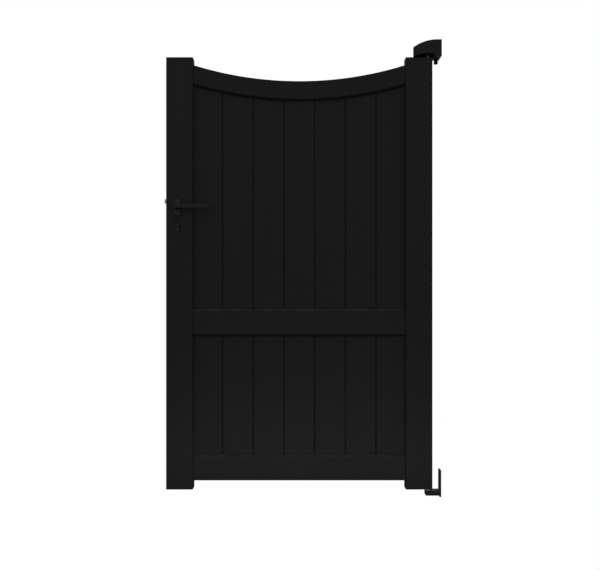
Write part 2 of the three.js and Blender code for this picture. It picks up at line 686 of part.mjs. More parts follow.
// What lies beyond the hood's free end, which leans in towards the garden side.
function pastHoodEnd(inset) {
  const half = HOOD_DEPTH / 2;
  const beyond = -HOOD_LENGTH - PAST;
  const end = (y) => inset - HOOD_LENGTH + (y + half) * (HOOD_END_LEAN / HOOD_DEPTH);
  const [near, far] = [-half - PAST, half + PAST];
  const shape = outline([[beyond, near], [end(near), near], [end(far), far], [beyond, far]]);
  return upright(shape, [-HOOD_EAR_DROP - 2 * PAST, HOOD_TOP + PAST]);
}

// The hood's side view: level top beside the pillar, then one arc down to the free end.
function hoodSide(inset) {
  const end = -HOOD_LENGTH + inset;
  const crown = HOOD_TOP - inset;
  const radius = HOOD_ARC_RADIUS - inset;
  const fall = Math.acos((-HOOD_FLAT - end) / radius);
  const foot = -HOOD_EAR_DROP - PAST;
  const side = new THREE.Shape();
  side.moveTo(0, foot);
  side.lineTo(0, crown);
  side.lineTo(-HOOD_FLAT, crown);
  side.absarc(-HOOD_FLAT, crown - radius, radius, Math.PI / 2, Math.PI - fall, false);
  side.lineTo(end, foot);
  side.closePath();
  return side;
}

// What the side walls lose: the arch over the stile and everything under the foot line.
function hoodArch() {
  const arch = new THREE.Shape();
  const below = -HOOD_EAR_DROP - 2 * PAST;
  const reach = -HOOD_LENGTH + HOOD_ARCH_REACH;
  arch.moveTo(-HOOD_LENGTH - PAST, below);
  arch.lineTo(-HOOD_LENGTH - PAST, HOOD_FOOT);
  arch.lineTo(-HOOD_LENGTH + HOOD_ARCH_START, HOOD_FOOT);
  arch.quadraticCurveTo(reach, HOOD_ARCH, -HOOD_HEEL - HOOD_ARCH_LEVEL, HOOD_ARCH);
  arch.lineTo(-HOOD_HEEL - HOOD_ARCH_CORNER, HOOD_ARCH);
  arch.quadraticCurveTo(-HOOD_HEEL, HOOD_ARCH, -HOOD_HEEL, HOOD_ARCH - HOOD_ARCH_CORNER);
  arch.lineTo(-HOOD_HEEL, HOOD_FOOT);
  arch.lineTo(PAST, HOOD_FOOT);
  arch.lineTo(PAST, below);
  arch.closePath();
  return arch;
}

function hoodEar() {
  const right = -HOOD_EAR_INSET;
  const left = right - HOOD_EAR_LENGTH;
  const foot = -HOOD_EAR_DROP;
  const root = HOOD_FOOT + HOOD_EAR_ROOT;
  const [outer, inner] = HOOD_EAR_CORNERS;
  const shape = outline([[left, foot, outer], [right, foot, inner], [right, root], [left, root]]);
  return crosswise(shape, [HOOD_DEPTH / 2 - HOOD_WALL, HOOD_DEPTH / 2]);
}

function hood() {
  const half = HOOD_DEPTH / 2;
  const within = [HOOD_WALL - half, half - HOOD_WALL];
  const shell = crosswise(hoodSide(0), [-half, half], HOOD_ARC_STEPS).subtract(pastHoodEnd(0));
  const hollow = crosswise(hoodSide(HOOD_WALL), within, HOOD_ARC_STEPS);
  const inside = hollow.subtract(pastHoodEnd(HOOD_WALL));
  const arch = crosswise(hoodArch(), [-half - PAST, half + PAST], HOOD_ARC_STEPS / 2);
  const openHeight = [-HOOD_EAR_DROP - 2 * PAST, HOOD_TOP - HOOD_WALL];
  const wallSide = block([-HOOD_LENGTH / 2, PAST], within, openHeight);
  const heel = block([-HOOD_HEEL, 0], [PAST - half, half - PAST], [HOOD_FOOT, HOOD_FOOT + HOOD_WALL]);
  const cover = shell.subtract(inside).subtract(arch).subtract(wallSide).add(heel).add(hoodEar());
  const screwAcross = [coverScrewX(), 0];
  const span = [HOOD_TOP - COVER_SCREW_LENGTH, HOOD_TOP];
  const seat = screwSeat(COVER_SCREW_RADIUS, COVER_SCREW_HEAD, SCREW_HEAD_HEIGHT, span, screwAcross);
  return cover.subtract(seat).translate([0, 0, LEAF_TOP]);
}

function coverScrew() {
  const top = LEAF_TOP + HOOD_TOP - GAP;
  const span = [top - COVER_SCREW_LENGTH, top];
  return countersunk(COVER_SCREW_RADIUS, COVER_SCREW_HEAD, SCREW_HEAD_HEIGHT, span, [coverScrewX(), 0]);
}

// Lock. Its frame has the spindle axis at the origin; the leaf's edge is at negative x.

function cylinderOutline(grow) {
  const radius = CYLINDER_RADIUS + grow;
  const half = CYLINDER_TAIL_WIDTH / 2 + grow;
  const joint = Math.asin(half / radius);
  const foot = -LOCK_CENTRES - CYLINDER_TAIL - grow;
  const shape = new THREE.Shape();
  shape.moveTo(half, -LOCK_CENTRES - radius * Math.cos(joint));
  shape.absarc(0, -LOCK_CENTRES, radius, joint - Math.PI / 2, Math.PI * 1.5 - joint, false);
  shape.lineTo(-half, foot + CYLINDER_TAIL_ROUND);
  shape.quadraticCurveTo(-half, foot, 0, foot);
  shape.quadraticCurveTo(half, foot, half, foot + CYLINDER_TAIL_ROUND);
  shape.closePath();
  return shape;
}

function caseBox(inset, y) {
  const left = -LOCK_BACKSET + FOREND_THICKNESS + GAP;
  const x = [left + inset, left + CASE_DEPTH - inset];
  return block(x, y, [-LOCK_CENTRES - CASE_BELOW + inset, CASE_ABOVE - inset]);
}

function caseHoles() {
  const through = [-CASE_WIDTH, CASE_WIDTH];
  let holes = rod('y', FOLLOWER_RADIUS + GAP, through);
  holes = holes.add(crosswise(cylinderOutline(GAP), through));
  for (const rise of [-ROSETTE_BOLT_RISE, ROSETTE_BOLT_RISE]) {
    holes = holes.add(rod('y', SCREW_RADIUS + GAP, through, [0, rise], SCREW_SIDES));
  }
  return holes;
}

// Slots for the latch, dead bolt and cylinder screw in whatever stands at the leaf's edge.
function boltSlots() {
  const x = [-LOCK_BACKSET - PAST, -LOCK_BACKSET + FOREND_THICKNESS + 2 * GAP + CASE_WALL + PAST];
  const side = BOLT_WIDTH / 2 + GAP;
  const latch = LATCH_HEIGHT / 2 + GAP;
  const bolt = DEAD_BOLT_HEIGHT / 2 + GAP;
  let slots = block(x, [-side, side], [LATCH_RISE - latch, LATCH_RISE + latch]);
  slots = slots.add(block(x, [-side, side], [-DEAD_BOLT_DROP - bolt, -DEAD_BOLT_DROP + bolt]));
  return slots.add(rod('x', SCREW_RADIUS + GAP, x, [0, bridgeScrewHeight()], SCREW_SIDES));
}

function bridgeScrewHeight() {
  return -LOCK_CENTRES - CYLINDER_TAIL + BRIDGE_SCREW_RISE;
}

// A countersunk screw pushed in from the leaf's edge.
function edgeScrew(length, height) {
  const face = LOCK_BACKSET - GAP / 2;
  const span = [face - length, face];
  const screw = countersunk(SCREW_RADIUS, SCREW_HEAD_RADIUS, SCREW_HEAD_HEIGHT, span, [0, 0]);
  return screw.rotate([0, -90, 0]).translate([0, 0, height]);
}

function edgeScrewSeat(height) {
  const span = [LOCK_BACKSET - FOREND_SCREW_LENGTH, LOCK_BACKSET];
  const seat = screwSeat(SCREW_RADIUS, SCREW_HEAD_RADIUS, SCREW_HEAD_HEIGHT, span, [0, 0]);
  return seat.rotate([0, -90, 0]).translate([0, 0, height]);
}

function buildLockCase() {
  const half = CASE_WIDTH / 2;
  const coverBack = -half + CASE_WALL;
  let tray = caseBox(0, [coverBack + GAP, half]).subtract(caseBox(CASE_WALL, [-half, half - CASE_WALL]));
  tray = tray.subtract(caseHoles()).subtract(boltSlots());
  place(lock, 'lock_case', tray, steel);
  place(lock, 'lock_case_cover', caseBox(0, [-half, coverBack]).subtract(caseHoles()), steel);

  const middle = -FOREND_DROP;
  const face = outline(rectangle(FOREND_WIDTH, FOREND_HEIGHT, FOREND_CORNER));
  const edge = [-LOCK_BACKSET, -LOCK_BACKSET + FOREND_THICKNESS];
  let forend = lengthwise(face, edge).translate([0, 0, middle]).subtract(boltSlots());
  for (const height of [...forendScrewHeights(), bridgeScrewHeight()]) {
    forend = forend.subtract(edgeScrewSeat(height));
  }
  place(lock, 'lock_forend', forend, steel);
  const names = ['forend_screw_upper', 'forend_screw_lower'];
  forendScrewHeights().forEach((height, index) => {
    place(lock, names[index], edgeScrew(FOREND_SCREW_LENGTH, height), steel);
  });
  const screwLength = LOCK_BACKSET + CYLINDER_TAIL_WIDTH / 2;
  place(lock, 'cylinder_screw', edgeScrew(screwLength, bridgeScrewHeight()), steel);
}

// The latch: a head bevelled on the side that meets the frame as the gate shuts, a flat tail over
// the follower and a lug that the follower's arm pushes.
function latch() {
  const nose = -LOCK_BACKSET - LATCH_THROW;
  const side = BOLT_WIDTH / 2;
  const back = nose + LATCH_HEAD_LENGTH;
  const height = [LATCH_RISE - LATCH_HEIGHT / 2, LATCH_RISE + LATCH_HEIGHT / 2];
  const bevel = nose + LATCH_THROW - LATCH_NOSE;
  const plan = outline([[bevel, -side], [back, -side], [back, side], [nose, side]]);
  const lugStart = latchLugStart();
  const thick = [-TAIL_THICKNESS / 2, TAIL_THICKNESS / 2];
  const tail = block([back - MERGE, lugStart + LATCH_LUG], thick, [LATCH_TAIL_FOOT, LATCH_TAIL_TOP]);
  const lug = block([lugStart, lugStart + LATCH_LUG], thick, [LATCH_LUG_FOOT, LATCH_TAIL_TOP]);
  return upright(plan, height).add(tail).add(lug);
}

function latchLugStart() {
  return FOLLOWER_ARM_WIDTH / 2 + ARM_PLAY;
}

function latchSpring() {
  const start = latchLugStart() + LATCH_LUG + 2 * GAP;
  const end = -LOCK_BACKSET + FOREND_THICKNESS + GAP + CASE_DEPTH - CASE_WALL - 2 * GAP;
  const middle = (LATCH_TAIL_FOOT + LATCH_TAIL_TOP) / 2 - SPRING_DROP;
  const steps = SPRING_COILS * SPRING_STEPS;
  const points = Array.from({ length: steps + 1 }, (_, index) => {
    const angle = (index / SPRING_STEPS) * 2 * Math.PI;
    const x = start + SPRING_WIRE + (index / steps) * (end - start - 2 * SPRING_WIRE);
    const y = SPRING_RADIUS * Math.cos(angle);
    return new THREE.Vector3(x, y, middle + SPRING_RADIUS * Math.sin(angle));
  });
  const path = new THREE.CatmullRomCurve3(points);
  const section = new THREE.Shape();
  section.absarc(0, 0, SPRING_WIRE, 0, 2 * Math.PI);
  const settings = { steps, extrudePath: path, curveSegments: 3, bevelEnabled: false };
  return solid(new THREE.ExtrudeGeometry(section, settings));
}

function deadBolt() {
  const nose = -LOCK_BACKSET + GAP;
  const side = BOLT_WIDTH / 2;
  const height = [-DEAD_BOLT_DROP - DEAD_BOLT_HEIGHT / 2, -DEAD_BOLT_DROP + DEAD_BOLT_HEIGHT / 2];
  return block([nose, nose + DEAD_BOLT_LENGTH], [-side, side], height);
}

function buildBolts() {
  place(lock, 'latch_bolt', latch(), steel);
  place(lock, 'latch_spring', latchSpring(), steel);
  place(lock, 'dead_bolt', deadBolt(), steel);
}

// Follower: the hub in the case that the spindle turns, with the arm that draws the latch back.
function follower() {
  const half = FOLLOWER_ARM_WIDTH / 2;
  const hole = SPINDLE_SIDE / 2 + GAP;
  const wide = CASE_WIDTH / 2;
  const inside = wide - CASE_WALL - 2 * GAP;
  const arm = block([-half, half], [-TAIL_THICKNESS / 2, TAIL_THICKNESS / 2], [0, FOLLOWER_ARM]);
  const collar = rod('y', FOLLOWER_RADIUS + FOLLOWER_COLLAR, [-inside, inside - 2 * GAP]);
  const hub = rod('y', FOLLOWER_RADIUS, [-wide, wide]).add(collar);
  return hub.add(arm).subtract(block([-hole, hole], [-wide - PAST, wide + PAST], [-hole, hole]));
}

// A lever for the street side; the garden side's is its mirror image.
function lever() {
  const front = -FACE - LEVER_PROJECTION;
  const back = front + LEVER_BAR_THICKNESS;
  const half = LEVER_BAR_HEIGHT / 2;
  const heel = -NECK_RADIUS;
  const root = back + LEVER_ROOT;
  const edge = LEVER_EDGE_ROUND;
  const barShape = outline([
    [heel, -half, LEVER_HEEL_ROUND], [LEVER_LENGTH - LEVER_TIP_SLANT, -half, LEVER_TIP_ROUND],
    [LEVER_LENGTH, half, LEVER_TIP_ROUND], [heel, half, LEVER_HEEL_ROUND],
  ]);
  const side = outline([
    [heel, front + LEVER_ROOT / 2, edge], [heel + LEVER_ROOT, front],
    [LEVER_LENGTH - edge, front, edge], [LEVER_LENGTH + PAST, back - 2 * edge, edge],
    [LEVER_LENGTH - 2 * edge, back, edge],
    [NECK_RADIUS + LEVER_ROOT, back, LEVER_ROOT_ROUND], [NECK_RADIUS, root], [heel, root],
  ]);
  const bar = crosswise(barShape, [front, root]).intersect(upright(side, [-half, half]));
  const neck = rod('y', NECK_RADIUS, [back - PAST, -FACE - GAP]);
  const socket = SPINDLE_SIDE / 2 + GAP;
  const cut = block([-socket, socket], [back + SOCKET_FLOOR, 0], [-socket, socket]);
  const grubHole = rod('z', GRUB_RADIUS + GAP, [heel - PAST, 0], [0, grubScrewY()], GRUB_SIDES);
  return bar.add(neck).subtract(cut).subtract(grubHole);
}

function grubScrewY() {
  return -FACE - ROSETTE_BASE - ROSETTE_BODY - GRUB_SETBACK;
}

function spindle() {
  const reach = FACE + LEVER_PROJECTION - LEVER_BAR_THICKNESS - SOCKET_FLOOR - 2 * PIN_SHY;
  const half = SPINDLE_SIDE / 2;
  return block([-half, half], [-reach, reach], [-half, half]);
}

function rosette(isRear) {
  const back = -FACE - GAP;
  const top = back - ROSETTE_BASE - ROSETTE_BODY;
  const bodyHeight = ROSETTE_HEIGHT - (ROSETTE_WIDTH - ROSETTE_BODY_WIDTH);
  const baseShape = outline(rectangle(ROSETTE_WIDTH, ROSETTE_HEIGHT, ROSETTE_CORNER));
  const bodyShape = outline(rectangle(ROSETTE_BODY_WIDTH, bodyHeight, ROSETTE_CORNER));
  const base = crosswise(baseShape, [back - ROSETTE_BASE, back]);
  const body = crosswise(bodyShape, [top, back - PAST]);
  let plate = base.add(body).subtract(rod('y', NECK_RADIUS + GAP, [top - PAST, 0]));
  for (const rise of [-ROSETTE_BOLT_RISE, ROSETTE_BOLT_RISE]) {
    const end = isRear ? top - PAST : top + BOLT_BLIND;
    plate = plate.subtract(rod('y', SCREW_RADIUS + GAP, [end, 0], [0, rise], SCREW_SIDES));
    if (isRear) {
      const sink = [top - PAST, top + BOLT_HEAD_SINK];
      plate = plate.subtract(rod('y', SCREW_HEAD_RADIUS + GAP, sink, [0, rise], SCREW_SIDES));
    }
  }
  return isRear ? plate.mirror([0, 1, 0]) : plate;
}

// A through bolt from the garden rosette into the street one.
function rosetteBolt() {
  const foot = FACE + GAP + ROSETTE_BASE + ROSETTE_BODY - BOLT_HEAD_SINK + GAP;
  const top = foot + BOLT_HEAD_HEIGHT;
  const shank = rod('y', SCREW_RADIUS, [-FACE - ROSETTE_BASE, foot + MERGE], [0, 0], SCREW_SIDES);
  const head = rod('y', SCREW_HEAD_RADIUS, [foot, top], [0, 0], SCREW_SIDES);
  const width = [-DRIVE_WIDTH / 2, DRIVE_WIDTH / 2];
  const slot = block(width, [top - DRIVE_DEPTH, top + PAST], [-DRIVE_LENGTH / 2, DRIVE_LENGTH / 2]);
  return shank.add(head).subtract(slot);
}

function grubScrew(y) {
  return rod('z', GRUB_RADIUS, [-NECK_RADIUS + 2 * GAP, -SPINDLE_SIDE / 2 - GAP], [0, y], GRUB_SIDES);
}

function buildLevers() {
  place(lock, 'lever_front', lever(), dark);
  place(lock, 'lever_rear', lever().mirror([0, 1, 0]), dark);
  place(lock, 'lever_spindle', spindle(), steel);
  place(lock, 'lock_follower', follower(), steel);
  place(lock, 'lever_grub_screw_front', grubScrew(grubScrewY()), steel);
  place(lock, 'lever_grub_screw_rear', grubScrew(-grubScrewY()), steel);
  place(lock, 'rosette_front', rosette(false), dark);
  place(lock, 'rosette_rear', rosette(true), dark);
  place(lock, 'rosette_bolt_upper', rosetteBolt(), steel, [0, 0, ROSETTE_BOLT_RISE]);
  place(lock, 'rosette_bolt_lower', rosetteBolt(), steel, [0, 0, -ROSETTE_BOLT_RISE]);
}

// Key cylinder: one body for both sides, a plug in each end and the cam between them.

function cylinderBody() {
  const half = CYLINDER_LENGTH / 2;
  const axis = [0, -LOCK_CENTRES];
  const across = [-CYLINDER_TAIL_WIDTH, CYLINDER_TAIL_WIDTH];
  let body = crosswise(cylinderOutline(0), [-half, half], CYLINDER_STEPS);
  body = body.subtract(rod('y', PLUG_RADIUS + GAP, [-half - PAST, half + PAST], axis));
  body = body.subtract(rod('y', CAM_SWEEP + MERGE, [-CAM_GAP / 2, CAM_GAP / 2], axis));
  return body.subtract(rod('x', SCREW_RADIUS + GAP, across, [0, bridgeScrewHeight()], SCREW_SIDES));
}

function plug() {
  const tip = -CYLINDER_LENGTH / 2 - PLUG_PROUD;
  const back = -CAM_GAP / 2 - GAP;
  const half = KEYWAY_WIDTH / 2;
  const height = [-KEYWAY_HEIGHT / 2 - KEYWAY_DROP, KEYWAY_HEIGHT / 2 - KEYWAY_DROP];
  const keyway = block([-half, half], [tip - PAST, tip + KEYWAY_DEPTH], height);
  return rod('y', PLUG_RADIUS, [tip, back]).subtract(keyway);
}

function cam() {
  const half = CAM_GAP / 2 - 2 * GAP;
  const finger = block([-CAM_FINGER / 2, CAM_FINGER / 2], [-half, half], [CAM_PLAY - CAM_SWEEP, 0]);
  return rod('y', PLUG_RADIUS + CAM_RIM, [-half, half]).add(finger);
}

function buildCylinder() {
  const axis = [0, 0, -LOCK_CENTRES];
  place(lock, 'cylinder_body', cylinderBody(), dark);
  place(lock, 'cylinder_plug_front', plug(), dark, axis);
  place(lock, 'cylinder_plug_rear', plug().mirror([0, 1, 0]), dark, axis);
  place(lock, 'cylinder_cam', cam(), steel, axis);
}

buildStiles();
buildRails();
buildBoards();
buildPivots();
buildLockCase();
buildBolts();
buildLevers();
buildCylinder();

export default gate;
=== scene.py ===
import math

import bmesh
import bpy
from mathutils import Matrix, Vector


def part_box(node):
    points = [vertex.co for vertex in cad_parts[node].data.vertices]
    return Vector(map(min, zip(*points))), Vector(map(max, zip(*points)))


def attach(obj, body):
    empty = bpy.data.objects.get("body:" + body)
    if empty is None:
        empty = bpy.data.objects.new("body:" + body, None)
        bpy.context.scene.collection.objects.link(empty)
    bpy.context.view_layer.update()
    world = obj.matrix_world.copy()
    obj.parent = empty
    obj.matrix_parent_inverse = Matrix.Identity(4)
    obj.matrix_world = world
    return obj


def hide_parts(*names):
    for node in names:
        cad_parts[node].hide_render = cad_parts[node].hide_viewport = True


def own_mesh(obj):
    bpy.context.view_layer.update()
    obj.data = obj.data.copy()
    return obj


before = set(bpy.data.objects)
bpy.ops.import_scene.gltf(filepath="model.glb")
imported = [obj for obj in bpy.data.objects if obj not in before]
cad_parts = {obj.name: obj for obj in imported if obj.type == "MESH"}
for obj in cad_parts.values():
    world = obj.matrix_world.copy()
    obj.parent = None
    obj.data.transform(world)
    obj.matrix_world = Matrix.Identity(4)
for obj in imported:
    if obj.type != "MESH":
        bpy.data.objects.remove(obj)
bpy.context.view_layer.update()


# ------------------
# Stiles: two hollow aluminium extrusions that stand at the leaf's sides. Each has a slot down its
# inner side for the boards, and the latch stile is milled for the lock before it is powder coated.

X, Y, Z = 0, 1, 2
SAME_PLACE = 1e-5  # metres, as all lengths here
NEAR = 1e-4
FINE_CUT = 1e-6
SHARP_ANGLE = 1.2  # radians
FIT = 0.0003  # the clearance between pieces
STILE_WALL = 0.003
STILE_CORNER = 0.002
BOARD_SLOT_HALF = 0.0083
BOARD_SLOT_DEPTH = 0.008


def clear_selection():
    if bpy.context.mode != "OBJECT":
        bpy.ops.object.mode_set(mode="OBJECT")
    bpy.ops.object.select_all(action="DESELECT")


def take_up(piece):
    clear_selection()
    piece.select_set(True)
    bpy.context.view_layer.objects.active = piece


def start_shaping():
    bpy.ops.object.transform_apply(location=True, rotation=True, scale=True)
    bpy.ops.object.mode_set(mode="EDIT")
    bpy.ops.mesh.select_all(action="DESELECT")


def saw_bar(name, low, high):
    """A square-edged bar between two corners, left open for shaping."""
    clear_selection()
    low, high = Vector(low), Vector(high)
    bpy.ops.mesh.primitive_cube_add(size=1, location=(low + high) / 2)
    bar = bpy.context.object
    bar.name = name
    bpy.ops.transform.resize(value=high - low)
    start_shaping()
    return bar


def pick(kind, wanted):
    """Selects only the vertices, edges or faces that are wanted, by their place or normal."""
    bpy.ops.mesh.select_mode(type=kind)
    bpy.ops.mesh.select_all(action="DESELECT")
    mesh = bmesh.from_edit_mesh(bpy.context.object.data)
    parts = {"VERT": mesh.verts, "EDGE": mesh.edges, "FACE": mesh.faces}[kind]
    for part in parts:
        if wanted(part):
            part.select_set(True)
    bmesh.update_edit_mesh(bpy.context.object.data)


def middle_of(edge):
    return (edge.verts[0].co + edge.verts[1].co) / 2


def runs_along(edge, axis):
    run = edge.verts[1].co - edge.verts[0].co
    return abs(run[axis]) > 0.98 * run.length


def middle_at(edge, axis, place):
    return abs(middle_of(edge)[axis] - place) < SAME_PLACE


def centre(face):
    return face.calc_center_median()


def is_sharp(edge):
    return edge.calc_face_angle(0) > SHARP_ANGLE


def lies_at(edge, axis, place):
    return all(abs(v.co[axis] - place) < SAME_PLACE for v in edge.verts)


def round_over(width, steps):
    bpy.ops.mesh.bevel(offset=width, segments=steps, profile=0.5, affect="EDGES",
                       clamp_overlap=True)


def round_edges(width, steps, wanted):
    pick("EDGE", wanted)
    round_over(width, steps)


def take_away(wanted):
    pick("FACE", wanted)
    bpy.ops.mesh.delete(type="FACE")


def draw_out(push):
    """Extrudes the picked faces along a vector."""
    bpy.ops.mesh.extrude_region_move(TRANSFORM_OT_translate={"value": push})


def cut_across(place, facing, **trim):
    """Scores the whole piece along a plane, or trims it there."""
    bpy.ops.mesh.select_all(action="SELECT")
    bpy.ops.mesh.bisect(plane_co=place, plane_no=facing, **trim)


def face_outward():
    bpy.ops.mesh.select_all(action="SELECT")
    bpy.ops.mesh.normals_make_consistent(inside=False)


def plough(end_axis, side_axis, side, half, depth):
    """A groove from end to end down the middle of one side of a bar whose ends are open."""
    for edge in (-half, half):
        cut_across((0, edge, 0), (0, 1, 0))
    pick("FACE", lambda f: f.normal[side_axis] * side > 0.99
         and abs(centre(f).y) < half)
    push = Vector((0, 0, 0))
    push[side_axis] = -side * depth
    draw_out(push)
    take_away(lambda f: abs(f.normal[end_axis]) > 0.99)


def apply_modifier(piece, kind, **settings):
    bpy.ops.object.modifier_add(type=kind)
    modifier = piece.modifiers[-1]
    for name, value in settings.items():
        setattr(modifier, name, value)
    bpy.ops.object.modifier_apply(modifier=modifier.name)


def carve(piece, cutter, operation="DIFFERENCE"):
    """Cuts a shape out of a piece, or joins it on, and throws the shape away."""
    take_up(piece)
    apply_modifier(piece, "BOOLEAN", operation=operation, solver="EXACT", object=cutter)
    bpy.data.objects.remove(cutter, do_unlink=True)
    bpy.ops.object.mode_set(mode="EDIT")
    pick("FACE", lambda f: len(f.verts) > 4)
    bpy.ops.mesh.quads_convert_to_tris(ngon_method="BEAUTY")
    bpy.ops.object.mode_set(mode="OBJECT")


def round_bar(name, radius, start, end, sides=48):
    """A round bar from one point to another, left open for shaping."""
    clear_selection()
    start, end = Vector(start), Vector(end)
    turn = (end - start).to_track_quat("Z", "Y").to_euler()
    bpy.ops.mesh.primitive_cylinder_add(vertices=sides, radius=radius, depth=(end - start).length,
                                        location=(start + end) / 2, rotation=turn)
    bar = bpy.context.object
    bar.name = name
    start_shaping()
    return bar


def drill(piece, radius, start, end, sides=48):
    carve(piece, round_bar("bore", radius, start, end, sides))


def fit(piece, body, slot, finish, *nodes):
    """Finishes a piece: flat faces shade flat, rounded edges smooth, and it rides with its body."""
    take_up(piece)
    bpy.ops.object.transform_apply(location=True, rotation=True, scale=True)
    bpy.ops.object.shade_smooth_by_angle(angle=math.radians(42))
    apply_modifier(piece, "WEIGHTED_NORMAL", keep_sharp=True)
    piece.data.materials.clear()
    piece.data.materials.append(finish)
    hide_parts(*nodes)
    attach(piece, body)


def add_node(tree, kind, place, **settings):
    node = tree.nodes.new(kind)
    node.location = place
    for name, value in settings.items():
        setattr(node, name, value)
    return node


def start_group(name, inputs, outputs):
    """An empty shader group with named float or vector inputs and float outputs."""
    group = bpy.data.node_groups.new(name, "ShaderNodeTree")
    for socket, kind, value in inputs:
        made = group.interface.new_socket(name=socket, in_out="INPUT", socket_type=kind)
        if value is not None:
            made.default_value = value
    for socket in outputs:
        group.interface.new_socket(name=socket, in_out="OUTPUT", socket_type="NodeSocketFloat")
    return (group, add_node(group, "NodeGroupInput", (-900, 0)),
            add_node(group, "NodeGroupOutput", (700, 0)))


def noise_node(tree, place, vector, scale=None, detail=2.0, rough=0.5, scale_from=None):
    node = add_node(tree, "ShaderNodeTexNoise", place)
    tree.links.new(vector, node.inputs["Vector"])
    node.inputs["Detail"].default_value = detail
    node.inputs["Roughness"].default_value = rough
    if scale_from is not None:
        tree.links.new(scale_from, node.inputs["Scale"])
    else:
        node.inputs["Scale"].default_value = scale
    return node


def sum_node(tree, place, operation, first, second):
    node = add_node(tree, "ShaderNodeMath", place, operation=operation)
    for socket, value in zip(node.inputs, (first, second)):
        if isinstance(value, (int, float)):
            socket.default_value = value
        else:
            tree.links.new(value, socket)
    return node.outputs[0]


def range_node(tree, place, value, low, high, to_low, to_high):
    node = add_node(tree, "ShaderNodeMapRange", place)
    tree.links.new(value, node.inputs["Value"])
    limits = {"From Min": low, "From Max": high, "To Min": to_low, "To Max": to_high}
    for socket, number in limits.items():
        node.inputs[socket].default_value = number
    return node.outputs["Result"]


# Fine texture of a baked coating: pinhead bumps on a slow orange-peel swell.
coat_texture, given, out = start_group(
    "Coat texture",
    [("Position", "NodeSocketVector", None), ("Grain", "NodeSocketFloat", 1900.0)],
    ["Height", "Fleck"])
grain = noise_node(coat_texture, (-600, 200), given.outputs["Position"], detail=2.0, rough=0.6,
                   scale_from=given.outputs["Grain"])
peel_scale = sum_node(coat_texture, (-780, -100), "MULTIPLY", given.outputs["Grain"], 0.16)
peel = noise_node(coat_texture, (-600, -100), given.outputs["Position"], detail=1.0, rough=0.5,
                  scale_from=peel_scale)
pinheads = range_node(coat_texture, (-380, 200), grain.outputs["Fac"], 0.42, 0.62, 0.0, 0.75)
swell = sum_node(coat_texture, (-380, -100), "MULTIPLY", peel.outputs["Fac"], 0.5)
height = sum_node(coat_texture, (-160, 60), "ADD", pinheads, swell)
coat_texture.links.new(height, out.inputs["Height"])
coat_texture.links.new(grain.outputs["Fac"], out.inputs["Fleck"])

# What weather and hands leave on it: dust on ledges, faint rain streaks, and polish on the edges.
weather, given, out = start_group(
    "Weather",
    [("Position", "NodeSocketVector", None), ("Dust", "NodeSocketFloat", 0.3)],
    ["Dust mask", "Streak", "Edge"])
surface = add_node(weather, "ShaderNodeNewGeometry", (-900, 320))
facing = add_node(weather, "ShaderNodeVectorMath", (-700, 320), operation="DOT_PRODUCT")
facing.inputs[1].default_value = (0, 0, 1)
weather.links.new(surface.outputs["Normal"], facing.inputs[0])
ledge = range_node(weather, (-500, 320), facing.outputs["Value"], 0.35, 0.95, 0.0, 1.0)
patches = noise_node(weather, (-700, 80), given.outputs["Position"], scale=26.0,
                     detail=5.0, rough=0.6)
patchy = range_node(weather, (-500, 80), patches.outputs["Fac"], 0.38, 0.68, 0.15, 1.0)
settled = sum_node(weather, (-280, 220), "MULTIPLY", ledge, patchy)
dust = sum_node(weather, (-80, 220), "MULTIPLY", settled, given.outputs["Dust"])
stretch = add_node(weather, "ShaderNodeMapping", (-700, -160))
stretch.inputs["Scale"].default_value = (60, 60, 2.2)
weather.links.new(given.outputs["Position"], stretch.inputs["Vector"])
streaks = noise_node(weather, (-500, -160), stretch.outputs["Vector"], scale=1.0,
                     detail=4.0, rough=0.55)
rubbed = range_node(weather, (-500, -420), surface.outputs["Pointiness"], 0.515, 0.60, 0.0, 1.0)
weather.links.new(dust, out.inputs["Dust mask"])
weather.links.new(streaks.outputs["Fac"], out.inputs["Streak"])
weather.links.new(rubbed, out.inputs["Edge"])

DUST_COLOUR = (0.11, 0.105, 0.095, 1)


def mix_colours(tree, place, mask, under, over):
    node = add_node(tree, "ShaderNodeMix", place, data_type="RGBA")
    tree.links.new(mask, node.inputs["Factor"])
    for socket, colour in ((node.inputs["A"], under), (node.inputs["B"], over)):
        if isinstance(colour, tuple):
            socket.default_value = colour
        else:
            tree.links.new(colour, socket)
    return node.outputs["Result"]


def new_material(name):
    material = bpy.data.materials.new(name)
    material.use_nodes = True
    tree = material.node_tree
    tree.nodes.clear()
    shader = add_node(tree, "ShaderNodeBsdfPrincipled", (500, 0))
    output = add_node(tree, "ShaderNodeOutputMaterial", (800, 0))
    tree.links.new(shader.outputs["BSDF"], output.inputs["Surface"])
    where = add_node(tree, "ShaderNodeTexCoord", (-1100, 0)).outputs["Object"]
    return material, tree, shader, where


def weather_on(tree, where, dust):
    aged = add_node(tree, "ShaderNodeGroup", (-800, -200), node_tree=weather)
    aged.inputs["Dust"].default_value = dust
    tree.links.new(where, aged.inputs["Position"])
    return aged


def emboss(tree, shader, height, strength, depth):
    bump = add_node(tree, "ShaderNodeBump", (260, -320))
    bump.inputs["Strength"].default_value = strength
    bump.inputs["Distance"].default_value = depth
    tree.links.new(height, bump.inputs["Height"])
    tree.links.new(bump.outputs["Normal"], shader.inputs["Normal"])


